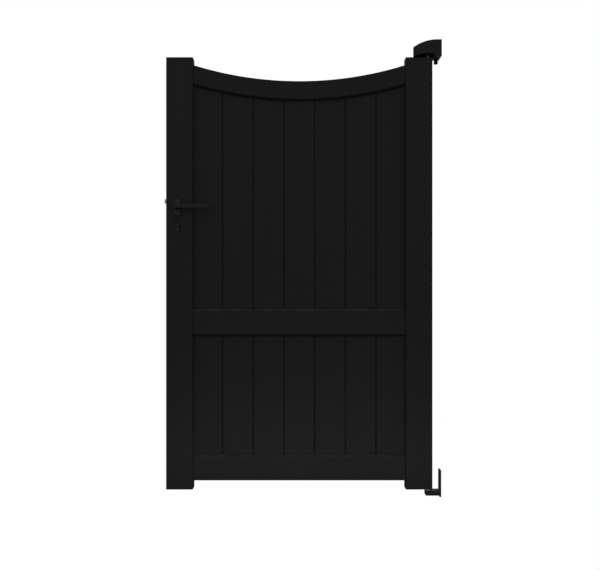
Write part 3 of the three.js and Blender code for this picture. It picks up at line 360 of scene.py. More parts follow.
def coated(name, colour, fleck, rubbed, roughness, grain=1900.0, depth=0.00005, dust=0.3,
           gloss=0.2):
    """A powder-coated or enamelled finish with its own grain, dust and rubbed edges."""
    material, tree, shader, where = new_material(name)
    texture = add_node(tree, "ShaderNodeGroup", (-800, 200), node_tree=coat_texture)
    texture.inputs["Grain"].default_value = grain
    tree.links.new(where, texture.inputs["Position"])
    aged = weather_on(tree, where, dust)
    flecks = range_node(tree, (-560, 300), texture.outputs["Fleck"], 0.35, 0.7, 0.0, 1.0)
    pigment = mix_colours(tree, (-340, 300), flecks, colour, fleck)
    worn = sum_node(tree, (-340, 60), "MULTIPLY", aged.outputs["Edge"], 0.5)
    edges = mix_colours(tree, (-120, 260), worn, pigment, rubbed)
    dusty = mix_colours(tree, (120, 220), aged.outputs["Dust mask"], edges, DUST_COLOUR)
    tree.links.new(dusty, shader.inputs["Base Color"])
    sheen = range_node(tree, (-340, -160), aged.outputs["Streak"], 0.3, 0.7,
                       roughness - 0.03, roughness + 0.03)
    polish = sum_node(tree, (-340, -340), "MULTIPLY", aged.outputs["Edge"], -0.06)
    handled = sum_node(tree, (-120, -160), "ADD", sheen, polish)
    dulled = sum_node(tree, (-120, -340), "MULTIPLY", aged.outputs["Dust mask"], 0.25)
    tree.links.new(sum_node(tree, (120, -160), "ADD", handled, dulled), shader.inputs["Roughness"])
    emboss(tree, shader, texture.outputs["Height"], 0.5, depth)
    shader.inputs["Specular IOR Level"].default_value = gloss
    return material


frame_coat = coated("Black powder coat on the frame", (0.0086, 0.0086, 0.0087, 1),
                    (0.0098, 0.0098, 0.0099, 1), (0.013, 0.013, 0.013, 1), 0.6)

stiles = {}
for node, inward in (("hinge_stile", -1), ("latch_stile", 1)):
    low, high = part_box(node)
    stile = saw_bar(node + "_tube", low, high)
    round_edges(STILE_CORNER, 4, lambda e: runs_along(e, Z))
    take_away(lambda f: abs(f.normal.z) > 0.99)
    plough(Z, X, inward, BOARD_SLOT_HALF, BOARD_SLOT_DEPTH)
    face_outward()
    bpy.ops.object.mode_set(mode="OBJECT")
    apply_modifier(stile, "SOLIDIFY", thickness=STILE_WALL, offset=-1, use_even_offset=True)
    stiles[node] = stile

# The lock's way into the latch stile: a shallow pocket for the forend, a mortice for the case, and
# holes through both faces for the spindle, the key cylinder and the rosette bolts.
forend_low, forend_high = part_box("lock_forend")
case_low, case_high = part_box("lock_case")
cylinder_low, cylinder_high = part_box("cylinder_body")
spindle_low, spindle_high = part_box("lever_spindle")
lever_axis = (spindle_low + spindle_high) / 2
LEVER_TO_KEY = 0.066
key_axis = Vector((lever_axis.x, 0, lever_axis.z - LEVER_TO_KEY))
bolt_heights = [(low.z + high.z) / 2 for low, high in
                (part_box("rosette_bolt_lower"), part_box("rosette_bolt_upper"))]
EASE = Vector((FIT, FIT, FIT))
THROUGH_STILE = 0.03
BOLT_HOLE_RADIUS = 0.0023
NECK_RADIUS = 0.008
KEY_PROFILE_RADIUS = 0.0085
KEY_TAIL_HALF = 0.005
KEY_TAIL_CORNER = 0.0042


def key_profile(name, reach, grow):
    """The key cylinder's outline, a round head with a flat-sided tail, along Y."""
    solid = round_bar(name, KEY_PROFILE_RADIUS + grow, key_axis - Vector((0, reach, 0)),
                      key_axis + Vector((0, reach, 0)), 64)
    tail = saw_bar("tail", (key_axis.x - KEY_TAIL_HALF - grow, -reach, cylinder_low.z - grow),
                   (key_axis.x + KEY_TAIL_HALF + grow, reach, key_axis.z))
    round_edges(KEY_TAIL_CORNER, 6, lambda e: runs_along(e, Y)
                and middle_of(e).z < cylinder_low.z + 0.002)
    carve(solid, tail, "UNION")
    return solid


latch_stile = stiles["latch_stile"]
pocket = saw_bar("pocket", forend_low - EASE - Vector((0.002, 0, 0)), forend_high + EASE)
carve(latch_stile, pocket)
mortice = saw_bar("mortice", (forend_low.x - 0.002, case_low.y - 0.0021, case_low.z - FIT),
                  (forend_low.x + 0.006, case_high.y + FIT, case_high.z + FIT))
carve(latch_stile, mortice)
through = Vector((0, THROUGH_STILE, 0))
drill(latch_stile, NECK_RADIUS, lever_axis - through, lever_axis + through)
carve(latch_stile, key_profile("bore", THROUGH_STILE, 0.0006))
for bolt_height in bolt_heights:
    bolt_axis = Vector((lever_axis.x, 0, bolt_height))
    drill(latch_stile, BOLT_HOLE_RADIUS, bolt_axis - through, bolt_axis + through, 24)
for node, stile in stiles.items():
    fit(stile, "leaf", "coated_frame", frame_coat, node)


# ------------------
# Stile caps: black moulded nylon plates with a plug pressed into each open end of a stile. The
# hinge stile's plugs are long and solid, because the pivot bushes are pressed into them.

CAP_PLATE = 0.0025
CAP_EASE = 0.0007
PLUG_SETBACK = 0.0033
PLUG_PAST_SLOT = 0.008
BUSH_RADIUS = 0.008
pivot_low, pivot_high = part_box("lower_pivot_pin")
pivot_axis = (pivot_low + pivot_high) / 2

cap_nylon = coated("Black moulded nylon", (0.0085, 0.0085, 0.0085, 1), (0.011, 0.011, 0.011, 1),
                   (0.02, 0.02, 0.02, 1), 0.6, grain=1100.0, depth=0.00008, dust=0.35)


def on_pivot(height):
    return (pivot_axis.x, 0, height)


def bore_on_pivot(piece, radius, foot, top, sides):
    """A hole on the pivots' line, right through a piece from its foot to its top."""
    drill(piece, radius, on_pivot(foot - 0.01), on_pivot(top + 0.01), sides)


for node, inward in (("hinge_stile_top_cap", -1), ("hinge_stile_bottom_cap", -1),
                     ("latch_stile_top_cap", 1), ("latch_stile_bottom_cap", 1)):
    low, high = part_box(node)
    is_top = "top" in node
    outer = high.z if is_top else low.z
    down = -1 if is_top else 1
    plate_low, plate_high = low.copy(), high.copy()
    if is_top:
        plate_low.z = outer - CAP_PLATE
    else:
        plate_high.z = outer + CAP_PLATE
    cap = saw_bar(node + "_plate", plate_low, plate_high)
    round_edges(STILE_CORNER, 4, lambda e: runs_along(e, Z))
    pick("FACE", lambda f: f.normal.z * down > 0.99)
    bpy.ops.mesh.inset(thickness=PLUG_SETBACK)
    inner_x = low.x if inward < 0 else high.x
    pick("VERT", lambda v: 0.003 < abs(v.co.x - inner_x) < 0.006
         and abs(v.co.z - outer) > 0.002 and abs(v.co.y) < 0.0218)
    bpy.ops.transform.translate(value=(-inward * PLUG_PAST_SLOT, 0, 0))
    pick("FACE", lambda f: f.normal.z * down > 0.99 and abs(centre(f).y) < 0.001)
    plug_length = (high.z - low.z) - CAP_PLATE
    draw_out((0, 0, down * plug_length))
    round_edges(CAP_EASE, 3, lambda e: lies_at(e, Z, outer))
    if "hinge" in node:
        bore_on_pivot(cap, BUSH_RADIUS + FIT, low.z, high.z, 64)
    fit(cap, "leaf", "cap_nylon", cap_nylon, node)


# ------------------
# Straight rails: the middle and bottom rails, hollow extrusions welded between the stiles. The side
# that faces the boards slopes back at each edge and has a slot for their ends.

RAIL_SPLAY = 0.008
RAIL_EASE = 0.0007


def close_ends(end_axis, places):
    for place in places:
        pick("EDGE", lambda e: e.is_boundary and lies_at(e, end_axis, place))
        bpy.ops.mesh.edge_face_add()
    face_outward()


for node, board_sides in (("middle_rail", (-1, 1)), ("bottom_rail", (1,))):
    low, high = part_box(node)
    rail = saw_bar(node + "_bar", low, high)
    for side in (-1, 1):
        edge_z = high.z if side > 0 else low.z
        pick("EDGE", lambda e: runs_along(e, X) and middle_at(e, Z, edge_z))
        if side in board_sides:
            round_over(RAIL_SPLAY, 1)
        else:
            round_over(STILE_CORNER, 4)
    round_edges(RAIL_EASE, 2, lambda e: runs_along(e, X) and len(e.link_faces) == 2
                and 0.6 < e.calc_face_angle(0) < 1.0)
    take_away(lambda f: abs(f.normal.x) > 0.99)
    for side in board_sides:
        plough(X, Z, side, BOARD_SLOT_HALF, BOARD_SLOT_DEPTH)
    close_ends(X, (low.x, high.x))
    fit(rail, "leaf", "coated_frame", frame_coat, node)


# ------------------
# Top rail: the same extrusion bent to a shallow dip on a former, then cut plumb at the stiles and
# welded in. Half of it is swept along the bend and the other half is its mirror image.

TOP_RAIL_DIP = 0.060
TOP_RAIL_FACE = 0.065
rail_low, rail_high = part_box("top_rail")
rail_middle = (rail_low.x + rail_high.x) / 2
half_span = (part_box("hinge_stile")[0].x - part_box("latch_stile")[1].x) / 2
bend_radius = (half_span ** 2 + TOP_RAIL_DIP ** 2) / (2 * TOP_RAIL_DIP)
bend_outer = bend_radius + TOP_RAIL_FACE + RAIL_SPLAY
bend_centre_z = rail_low.z + bend_outer

clear_selection()
section_top = bend_centre_z - bend_radius
section_height = section_top - rail_low.z
bpy.ops.mesh.primitive_plane_add(size=1, location=(0, 0, rail_low.z + section_height / 2),
                                 rotation=(0, math.pi / 2, 0))
top_rail = bpy.context.object
top_rail.name = "top_rail_bar"
bpy.ops.transform.resize(value=(1, rail_high.y - rail_low.y, section_height))
start_shaping()
pick("VERT", lambda v: v.co.z < rail_low.z + 0.001)
bpy.ops.mesh.bevel(offset=RAIL_SPLAY, segments=1, affect="VERTICES")
pick("VERT", lambda v: v.co.z > section_top - 0.001)
bpy.ops.mesh.bevel(offset=STILE_CORNER, segments=3, affect="VERTICES")
for edge in (-BOARD_SLOT_HALF, BOARD_SLOT_HALF):
    cut_across((0, edge, 0), (0, 1, 0))
cut_across((0, 0, rail_low.z + BOARD_SLOT_DEPTH), (0, 0, 1))
take_away(lambda f: abs(centre(f).y) < 0.004 and centre(f).z < rail_low.z + 0.006)
bpy.ops.mesh.select_mode(type="FACE")
bpy.ops.mesh.select_all(action="SELECT")
bpy.ops.mesh.spin(steps=60, angle=math.radians(18), center=(0, 0, bend_centre_z), axis=(0, 1, 0))
spun_side = 1 if max(v.co.x for v in bmesh.from_edit_mesh(top_rail.data).verts) > 0.1 else -1
cut_across((spun_side * (rail_high.x - rail_low.x) / 2, 0, 0), (spun_side, 0, 0),
           clear_outer=True, use_fill=True)
take_away(lambda f: abs(f.normal.x) > 0.98 and abs(centre(f).x) < NEAR)
bpy.ops.mesh.select_all(action="SELECT")
bpy.ops.mesh.remove_doubles(threshold=SAME_PLACE)
bpy.ops.object.mode_set(mode="OBJECT")
apply_modifier(top_rail, "MIRROR", merge_threshold=SAME_PLACE)
bpy.ops.object.mode_set(mode="EDIT")
face_outward()
bpy.ops.object.mode_set(mode="OBJECT")
bpy.ops.transform.translate(value=(rail_middle, 0, 0))
fit(top_rail, "leaf", "coated_frame", frame_coat, "top_rail")


# ------------------
# Boards: tongue-and-groove aluminium planks, seven above the middle rail and seven below. They
# slide into the slots unglued. Their long edges are chamfered, so that each joint shows as a vee.

BOARD_VEE = 0.0025
BOARD_EASE = 0.0004
BOARDS_IN_ROW = 7
TONGUE_HALF = 0.002
TONGUE_LENGTH = 0.006
GROOVE_HALF = 0.0023
BOARD_HOLD = 0.006
board_coat = coated("Black powder coat on the boards", (0.0085, 0.0085, 0.0086, 1),
                    (0.0096, 0.0096, 0.0097, 1), (0.013, 0.013, 0.013, 1), 0.61, dust=0.25)


def make_board(name, node):
    """One plank where the first CAD board of its row stands, with its tongue and groove."""
    low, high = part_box(node)
    high.x -= TONGUE_LENGTH
    plank = saw_bar(name, low, high)
    round_edges(BOARD_VEE, 1, lambda e: runs_along(e, Z))
    round_edges(BOARD_EASE, 2, lambda e: runs_along(e, Z)
                and abs(abs(middle_of(e).y) - high.y) < SAME_PLACE)
    take_away(lambda f: abs(f.normal.z) > 0.99)
    plough(Z, X, -1, GROOVE_HALF, TONGUE_LENGTH + FIT)
    plough(Z, X, 1, TONGUE_HALF, -TONGUE_LENGTH)
    close_ends(Z, (low.z, high.z))
    bpy.ops.object.mode_set(mode="OBJECT")
    return plank


def copy_piece(piece, name, move):
    take_up(piece)
    bpy.ops.object.duplicate(linked=False)
    twin = bpy.context.object
    twin.name = name
    bpy.ops.transform.translate(value=move)
    bpy.ops.object.transform_apply(location=True, rotation=False, scale=False)
    return twin


def saw_off(piece, place, outward):
    take_up(piece)
    bpy.ops.object.mode_set(mode="EDIT")
    cut_across(place, outward, clear_outer=True, use_fill=True, threshold=FINE_CUT)
    bpy.ops.object.mode_set(mode="OBJECT")


board_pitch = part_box("upper_board_2")[0].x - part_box("upper_board_1")[0].x
bend_hold = bend_outer - BOARD_HOLD


def bend_height(x):
    return bend_centre_z - math.sqrt(bend_hold ** 2 - (x - rail_middle) ** 2)


for row in ("upper_board_", "lower_board_"):
    pattern = make_board(row + "pattern", row + "1")
    for number in range(1, BOARDS_IN_ROW + 1):
        node = row + str(number)
        plank = copy_piece(pattern, node + "_plank", ((number - 1) * board_pitch, 0, 0))
        low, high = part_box(node)
        if number == BOARDS_IN_ROW:
            saw_off(plank, (high.x - 0.00002, 0, 0), (1, 0, 0))
        if row == "upper_board_":
            run = high.x - low.x
            rise = bend_height(high.x) - bend_height(low.x)
            saw_off(plank, (low.x, 0, bend_height(low.x)), (-rise, 0, run))
        fit(plank, "leaf", "coated_boards", board_coat, node)
    bpy.data.objects.remove(pattern, do_unlink=True)


# ------------------
# Pivot bushes and thrust washer: two flanged bronze bushes turned on a lathe and pressed into the
# hinge stile's plugs, and an acetal washer that carries the leaf on the lower bracket.

def metal(name, colour, light, roughness, stretch, scratch=0.00002, metallic=1.0):
    """Bare or plated metal with fine tool marks that run one way, and dulled patches."""
    material, tree, shader, where = new_material(name)
    aged = weather_on(tree, where, 0.15)
    marks = add_node(tree, "ShaderNodeMapping", (-860, 200))
    marks.inputs["Scale"].default_value = stretch
    tree.links.new(where, marks.inputs["Vector"])
    brushed = noise_node(tree, (-660, 200), marks.outputs["Vector"], scale=1.0, detail=4.0,
                         rough=0.65)
    tone = range_node(tree, (-440, 260), brushed.outputs["Fac"], 0.3, 0.7, 0.0, 1.0)
    bare = mix_colours(tree, (-220, 260), tone, colour, light)
    dusty = mix_colours(tree, (20, 220), aged.outputs["Dust mask"], bare, DUST_COLOUR)
    tree.links.new(dusty, shader.inputs["Base Color"])
    dull = range_node(tree, (-440, -60), aged.outputs["Streak"], 0.3, 0.7,
                      roughness - 0.05, roughness + 0.08)
    dusted = sum_node(tree, (-440, -260), "MULTIPLY", aged.outputs["Dust mask"], 0.3)
    tree.links.new(sum_node(tree, (-220, -60), "ADD", dull, dusted), shader.inputs["Roughness"])
    emboss(tree, shader, brushed.outputs["Fac"], 0.4, scratch)
    shader.inputs["Metallic"].default_value = metallic
    return material


bronze = metal("Turned bronze", (0.30, 0.19, 0.085, 1), (0.42, 0.28, 0.13, 1), 0.38,
               (300, 300, 5200))
acetal = coated("Natural acetal", (0.50, 0.50, 0.47, 1), (0.56, 0.56, 0.53, 1),
                (0.62, 0.62, 0.60, 1), 0.42, grain=900.0, depth=0.00002, dust=0.4)
bush_flange_radius = (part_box("lower_hinge_bush")[1].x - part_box("lower_hinge_bush")[0].x) / 2
BUSH_BORE = 0.00565
BUSH_FLANGE = 0.0026
BUSH_EASE = 0.0003
WASHER_EASE = 0.0005

for node, up in (("lower_hinge_bush", 1), ("upper_hinge_bush", -1)):
    low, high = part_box(node)
    outer = low.z if up > 0 else high.z
    inner = high.z if up > 0 else low.z
    shoulder = outer + up * BUSH_FLANGE
    bush = round_bar(node + "_turned", BUSH_RADIUS, on_pivot(shoulder),
                     on_pivot(inner), 64)
    pick("FACE", lambda f: f.normal.z * up < -0.99)
    draw_out((0, 0, 0))
    spread = bush_flange_radius / BUSH_RADIUS
    bpy.ops.transform.resize(value=(spread, spread, 1), center_override=on_pivot(shoulder))
    draw_out((0, 0, outer - shoulder))
    bore_on_pivot(bush, BUSH_BORE, low.z, high.z, 64)
    take_up(bush)
    bpy.ops.object.mode_set(mode="EDIT")
    round_edges(BUSH_EASE, 2, lambda e: is_sharp(e) and not e.is_boundary and not runs_along(e, Z)
                and (middle_of(e).xy - pivot_axis.xy).length > BUSH_BORE + 0.0002)
    fit(bush, "leaf", "bronze_bush", bronze, node)

low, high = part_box("thrust_washer")
washer = round_bar("thrust_washer_ring", (high.x - low.x) / 2, on_pivot(low.z),
                   on_pivot(high.z), 64)
round_edges(WASHER_EASE, 3, lambda e: not runs_along(e, Z))
bore_on_pivot(washer, BUSH_BORE, low.z, high.z, 64)
fit(washer, "pillar_hardware", "washer_nylon", acetal, "thrust_washer")


# ------------------
# Lower bracket and pivot pins: a steel wall plate with a thick arm welded to it, powder coated, and
# two steel pins. The lower pin stands in the arm, and the upper one drops through the upper arm.

hardware_coat = coated("Black powder coat on the brackets", (0.0088, 0.0088, 0.0089, 1),
                       (0.0102, 0.0102, 0.0103, 1), (0.016, 0.016, 0.016, 1), 0.58, grain=1500.0,
                       depth=0.00007, dust=0.3)
bright_steel = metal("Bright steel", (0.36, 0.36, 0.37, 1), (0.52, 0.52, 0.53, 1), 0.3,
                     (2600, 2600, 90))
PLATE = 0.005
PLATE_CORNER = 0.004
WALL_SCREW_RADIUS = 0.0043
WELD = 0.0022
PLATE_EASE = 0.0006
ARM_THICKNESS = 0.0182
ARM_END_CORNER = 0.005
ARM_EDGE = 0.0028
WALL_SCREW_HEIGHTS = (0.032, -0.014)
PIN_RADIUS = 0.0055
PIN_SOCKET_RADIUS = 0.0058
PIN_EASE = 0.0009
PIN_HEAD = 0.005
PIN_HEAD_EASE = 0.0008

low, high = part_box("lower_hinge_bracket")
washer_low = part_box("thrust_washer")[0]
arm_top = washer_low.z - FIT
arm_foot = arm_top - ARM_THICKNESS
bracket = saw_bar("lower_hinge_bracket_welded", (-PLATE, low.y, low.z), high)
round_edges(PLATE_CORNER, 5, lambda e: runs_along(e, X))
for height in (arm_foot, arm_top):
    cut_across((0, 0, height), (0, 0, 1))
pick("FACE", lambda f: f.normal.x < -0.99 and arm_foot < centre(f).z < arm_top)
draw_out((low.x + PLATE, 0, 0))
round_edges(ARM_END_CORNER, 6, lambda e: runs_along(e, Z) and middle_at(e, X, low.x))
round_edges(ARM_EDGE, 4, lambda e: middle_of(e).x < -PLATE - NEAR and not runs_along(e, Z)
            and (middle_at(e, Z, arm_top) or middle_at(e, Z, arm_foot))
            and is_sharp(e))
round_edges(WELD, 3, lambda e: runs_along(e, Y) and middle_at(e, X, -PLATE)
            and (middle_at(e, Z, arm_top) or middle_at(e, Z, arm_foot)))
round_edges(PLATE_EASE, 2, lambda e: lies_at(e, X, -PLATE) and is_sharp(e))
bpy.ops.object.mode_set(mode="OBJECT")
for height in WALL_SCREW_HEIGHTS:
    drill(bracket, WALL_SCREW_RADIUS, (-0.02, 0, height), (0.01, 0, height), 40)
bore_on_pivot(bracket, PIN_SOCKET_RADIUS, arm_foot, arm_top, 48)
fit(bracket, "pillar_hardware", "coated_hardware", hardware_coat, "lower_hinge_bracket")

low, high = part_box("lower_pivot_pin")
pin = round_bar("lower_pivot_pin_turned", (high.x - low.x) / 2, on_pivot(low.z),
                on_pivot(high.z))
round_edges(PIN_EASE, 2, lambda e: not runs_along(e, Z))
fit(pin, "pillar_hardware", "bright_steel", bright_steel, "lower_pivot_pin")

low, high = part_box("upper_pivot_pin")
pin = round_bar("upper_pivot_pin_turned", PIN_RADIUS, on_pivot(low.z),
                on_pivot(high.z - PIN_HEAD))
round_edges(PIN_EASE, 2, lambda e: not runs_along(e, Z) and middle_of(e).z < low.z + 0.001)
pick("FACE", lambda f: f.normal.z > 0.99)
draw_out((0, 0, 0))
spread = (high.x - low.x) / 2 / PIN_RADIUS
bpy.ops.transform.resize(value=(spread, spread, 1), center_override=on_pivot(high.z - PIN_HEAD))
draw_out((0, 0, PIN_HEAD))
bpy.ops.mesh.bevel(offset=PIN_HEAD_EASE, segments=3, affect="EDGES")
fit(pin, "pillar_hardware", "bright_steel", bright_steel, "upper_pivot_pin")


# ------------------
# Upper bracket: a folded and welded steel bracket, out of sight under the hood. Its arm holds the
# upper pin, and a small tab on top takes the hood's screw. Its shape stays as it was cut.

def give_finish(finish, *nodes):
    for node in nodes:
        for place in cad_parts[node].material_slots:
            place.material = finish


give_finish(hardware_coat, "upper_hinge_bracket")


# ------------------
# Hood: a thin cast aluminium cover over the upper bracket, level beside the pillar and curved down
# to its free end. Its side walls arch over the leaf's top, and one screw holds it from above.

cover_coat = coated("Black powder coat on the hood", (0.0086, 0.0086, 0.0087, 1),
                    (0.0099, 0.0099, 0.0100, 1), (0.015, 0.015, 0.015, 1), 0.58, grain=1700.0,
                    dust=0.35)
HOOD_WALL = 0.003
HOOD_FLAT = 0.0163
HOOD_ARC_RADIUS = 0.1475
HOOD_FOOT = 0.003
HOOD_CROWN = 0.0133
HOOD_HEEL = 0.027
HOOD_END_LEAN = 0.010
HOOD_EDGE = 0.0012
HOOD_STEPS = 22
ARCH_SETBACK = 0.009
ARCH_RUN = 0.052
ARCH_STEPS = 9
ARCH_POWER = 2.1
ARCH_CORNER = 0.003
EAR_FREE_SIDE = -0.019
EAR_WALL_SIDE = -0.004
leaf_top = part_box("hinge_stile_top_cap")[1].z
low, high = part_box("upper_hinge_cover")
hood = saw_bar("upper_hinge_cover_cast", (low.x, low.y, leaf_top + HOOD_FOOT), high)
stations = [-HOOD_FLAT - step * (-HOOD_FLAT - low.x) / HOOD_STEPS for step in range(HOOD_STEPS)]
for x in stations:
    cut_across((x, 0, 0), (1, 0, 0))
for x in stations[1:] + [low.x]:
    pick("VERT", lambda v: abs(v.co.x - x) < SAME_PLACE and abs(v.co.z - high.z) < SAME_PLACE)
    fall = HOOD_ARC_RADIUS - math.sqrt(HOOD_ARC_RADIUS ** 2 - (x + HOOD_FLAT) ** 2)
    bpy.ops.transform.translate(value=(0, 0, -fall))
cut_across((low.x, low.y, 0), (low.y - high.y, HOOD_END_LEAN, 0),
           clear_outer=True, use_fill=True, threshold=FINE_CUT)
take_away(lambda f: f.normal.z < -0.99 or f.normal.x > 0.99)
bpy.ops.object.mode_set(mode="OBJECT")
apply_modifier(hood, "SOLIDIFY", thickness=HOOD_WALL, offset=-1, use_even_offset=True)
bpy.ops.object.mode_set(mode="EDIT")
round_edges(HOOD_EDGE, 3, lambda e: e.calc_face_angle(0) > 1.0
            and all(abs(abs(v.co.y) - high.y) < SAME_PLACE for v in e.verts)
            and middle_of(e).z > leaf_top + HOOD_FOOT + 0.001)

foot = leaf_top + HOOD_FOOT
crown = leaf_top + HOOD_CROWN
arch_start = low.x + ARCH_SETBACK
arch = saw_bar("arch", (arch_start, low.y - 0.01, foot - 0.01),
               (-HOOD_HEEL, high.y + 0.01, crown))
for step in range(1, ARCH_STEPS):
    cut_across((arch_start + ARCH_RUN * step / ARCH_STEPS, 0, 0), (1, 0, 0))
for step in range(ARCH_STEPS):
    place = arch_start + ARCH_RUN * step / ARCH_STEPS
    pick("VERT", lambda v: abs(v.co.x - place) < SAME_PLACE and v.co.z > crown - NEAR)
    drop = (HOOD_CROWN - HOOD_FOOT) * (1 - step / ARCH_STEPS) ** ARCH_POWER
    bpy.ops.transform.translate(value=(0, 0, -drop))
round_edges(ARCH_CORNER, 4, lambda e: runs_along(e, Y) and middle_at(e, X, -HOOD_HEEL)
            and middle_of(e).z > crown - NEAR)
carve(hood, arch)
heel = saw_bar("heel", (-HOOD_HEEL, low.y + 0.001, foot),
               (-0.0002, high.y - 0.001, foot + HOOD_WALL))
carve(hood, heel, "UNION")
ear = saw_bar("ear", (EAR_FREE_SIDE, high.y - HOOD_WALL, low.z),
              (EAR_WALL_SIDE, high.y, foot + 0.006))
for corner, steps, side in ((0.0042, 5, EAR_WALL_SIDE), (0.002, 3, EAR_FREE_SIDE)):
    round_edges(corner, steps, lambda e: runs_along(e, Y) and middle_of(e).z < low.z + NEAR
                and abs(middle_of(e).x - side) < 0.001)
carve(hood, ear, "UNION")

screw_low, screw_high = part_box("cover_screw")
screw_axis = (screw_low + screw_high) / 2
SCREW_RADIUS = 0.002
SCREW_HEAD_RADIUS = 0.0038
SCREW_HEAD_HEIGHT = 0.0018
SCREW_RIM = 0.0003
SCREW_TIP_EASE = 0.0006
SCREW_SLOT_HALF = 0.0004
SCREW_SLOT_DEPTH = 0.0009
SEAT_DEPTH = 0.0145


def screw_seat(head, inward):
    """A countersunk hole for a screw, from a little outside its head down past the metal."""
    head, inward = Vector(head), Vector(inward)
    sink = SCREW_HEAD_HEIGHT + FIT
    seat = round_bar("seat", SCREW_RADIUS + FIT, head + inward * SEAT_DEPTH,
                     head + inward * sink, 32)
    pick("FACE", lambda f: f.normal.dot(inward) < -0.99)
    draw_out(-inward * sink)
    spread = (SCREW_HEAD_RADIUS + 2 * FIT) / (SCREW_RADIUS + FIT)
    bpy.ops.transform.resize(value=(spread, spread, spread), center_override=head)
    draw_out(-inward * 0.001)
    bpy.ops.object.mode_set(mode="OBJECT")
    return seat


carve(hood, screw_seat((screw_axis.x, 0, high.z), (0, 0, -1)))
fit(hood, "pillar_hardware", "coated_cover", cover_coat, "upper_hinge_cover")


def countersunk_screw(name, head, inward, length):
    """A slotted countersunk screw, with its head at one point and its shank running inward."""
    head, inward = Vector(head), Vector(inward)
    screw = round_bar(name, SCREW_RADIUS, head + inward * length,
                      head + inward * SCREW_HEAD_HEIGHT, 32)
    pick("FACE", lambda f: f.normal.dot(inward) < -0.99)
    draw_out(-inward * (SCREW_HEAD_HEIGHT - SCREW_RIM))
    spread = SCREW_HEAD_RADIUS / SCREW_RADIUS
    bpy.ops.transform.resize(value=(spread, spread, spread),
                             center_override=head + inward * SCREW_RIM)
    draw_out(-inward * SCREW_RIM)
    pick("FACE", lambda f: f.normal.dot(inward) > 0.99)
    bpy.ops.mesh.bevel(offset=SCREW_TIP_EASE, segments=2, affect="EDGES")
    bpy.ops.object.mode_set(mode="OBJECT")
    across = Vector((0, 0.0026, 0))
    other = inward.cross(Vector((0, 1, 0))) * SCREW_SLOT_HALF
    reach = inward * SCREW_SLOT_DEPTH
    corners = [head + a * across + b * other + c * reach
               for a in (-1, 1) for b in (-1, 1) for c in (-1, 1)]
    slot_low = Vector([min(corner[i] for corner in corners) for i in range(3)])
    slot_high = Vector([max(corner[i] for corner in corners) for i in range(3)])
    slot = saw_bar("slot", slot_low, slot_high)
    carve(screw, slot)
    return screw


black_screw = metal("Blackened stainless screw", (0.018, 0.018, 0.018, 1), (0.03, 0.03, 0.03, 1),
                    0.42, (900, 900, 900), metallic=0.6)
screw = countersunk_screw("cover_screw_turned", (screw_axis.x, 0, screw_high.z), (0, 0, -1),
                          screw_high.z - screw_low.z)
fit(screw, "pillar_hardware", "black_screw", black_screw, "cover_screw")


# ------------------
# Lock case and works: a pressed, zinc-plated steel case with its follower and spindle, which stay
# as they were cut, and the latch's spring of wound wire.

zinc_steel = metal("Zinc-plated pressed steel", (0.30, 0.31, 0.32, 1), (0.46, 0.47, 0.48, 1), 0.36,
                   (120, 120, 120))
give_finish(zinc_steel, "lock_case", "lock_case_cover", "lock_follower", "lever_spindle")

WIRE_RADIUS = 0.0004
SPRING_TURNS = 6
low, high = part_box("latch_spring")
spring_axis = (low + high) / 2
clear_selection()
coil_radius = (high.y - low.y) / 2 - WIRE_RADIUS
bpy.ops.mesh.primitive_circle_add(vertices=10, radius=WIRE_RADIUS, rotation=(math.pi / 2, 0, 0),
                                  location=(low.x + WIRE_RADIUS, 0, coil_radius))
spring = bpy.context.object
spring.name = "latch_spring_wound"
start_shaping()
bpy.ops.object.mode_set(mode="OBJECT")
apply_modifier(spring, "SCREW", axis="X", iterations=SPRING_TURNS, steps=24, render_steps=24,
               screw_offset=(high.x - low.x - 2 * WIRE_RADIUS) / SPRING_TURNS)
bpy.ops.object.mode_set(mode="EDIT")
bpy.ops.mesh.select_all(action="SELECT")
bpy.ops.mesh.fill_holes(sides=12)
face_outward()
bpy.ops.object.mode_set(mode="OBJECT")
bpy.ops.transform.translate(value=(0, 0, spring_axis.z))
fit(spring, "leaf", "zinc_steel", zinc_steel, "latch_spring")
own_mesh(spring)


# ------------------
# Forend: the lock's stainless face plate, flush with the leaf's edge, with slots for the two bolts.
# Two countersunk screws hold it to the stile, and a long one holds the key cylinder.

brushed_steel = metal("Brushed stainless steel", (0.34, 0.34, 0.34, 1), (0.50, 0.50, 0.49, 1), 0.32,
                      (1500, 3200, 24))
LATCH_HEAD_HEIGHT = 0.016
FOREND_CORNER = 0.001
FOREND_EASE = 0.0004
forend = saw_bar("lock_forend_plate", forend_low, forend_high)
round_edges(FOREND_CORNER, 3, lambda e: runs_along(e, X))
round_edges(FOREND_EASE, 2, lambda e: lies_at(e, X, forend_low.x))
latch_low, latch_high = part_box("latch_bolt")
bolt_low, bolt_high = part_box("dead_bolt")
latch_head_foot = latch_high.z - LATCH_HEAD_HEIGHT
for slot_foot, slot_top in ((latch_head_foot, latch_high.z), (bolt_low.z, bolt_high.z)):
    slot = saw_bar("slot", (forend_low.x - 0.002, bolt_low.y - FIT, slot_foot - FIT),
                   (forend_high.x + 0.002, bolt_high.y + FIT, slot_top + FIT))
    carve(forend, slot)
edge_screws = []
for node in ("forend_screw_upper", "forend_screw_lower", "cylinder_screw"):
    low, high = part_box(node)
    edge_screws.append((node, low.x, (low.z + high.z) / 2, high.x - low.x))
for node, head_x, height, length in edge_screws:
    carve(forend, screw_seat((forend_low.x, 0, height), (1, 0, 0)))
fit(forend, "leaf", "bright_steel", brushed_steel, "lock_forend")
for node, head_x, height, length in edge_screws:
    screw = countersunk_screw(node + "_turned", (head_x, 0, height), (1, 0, 0), length)
    fit(screw, "leaf", "bright_steel", bright_steel, node)


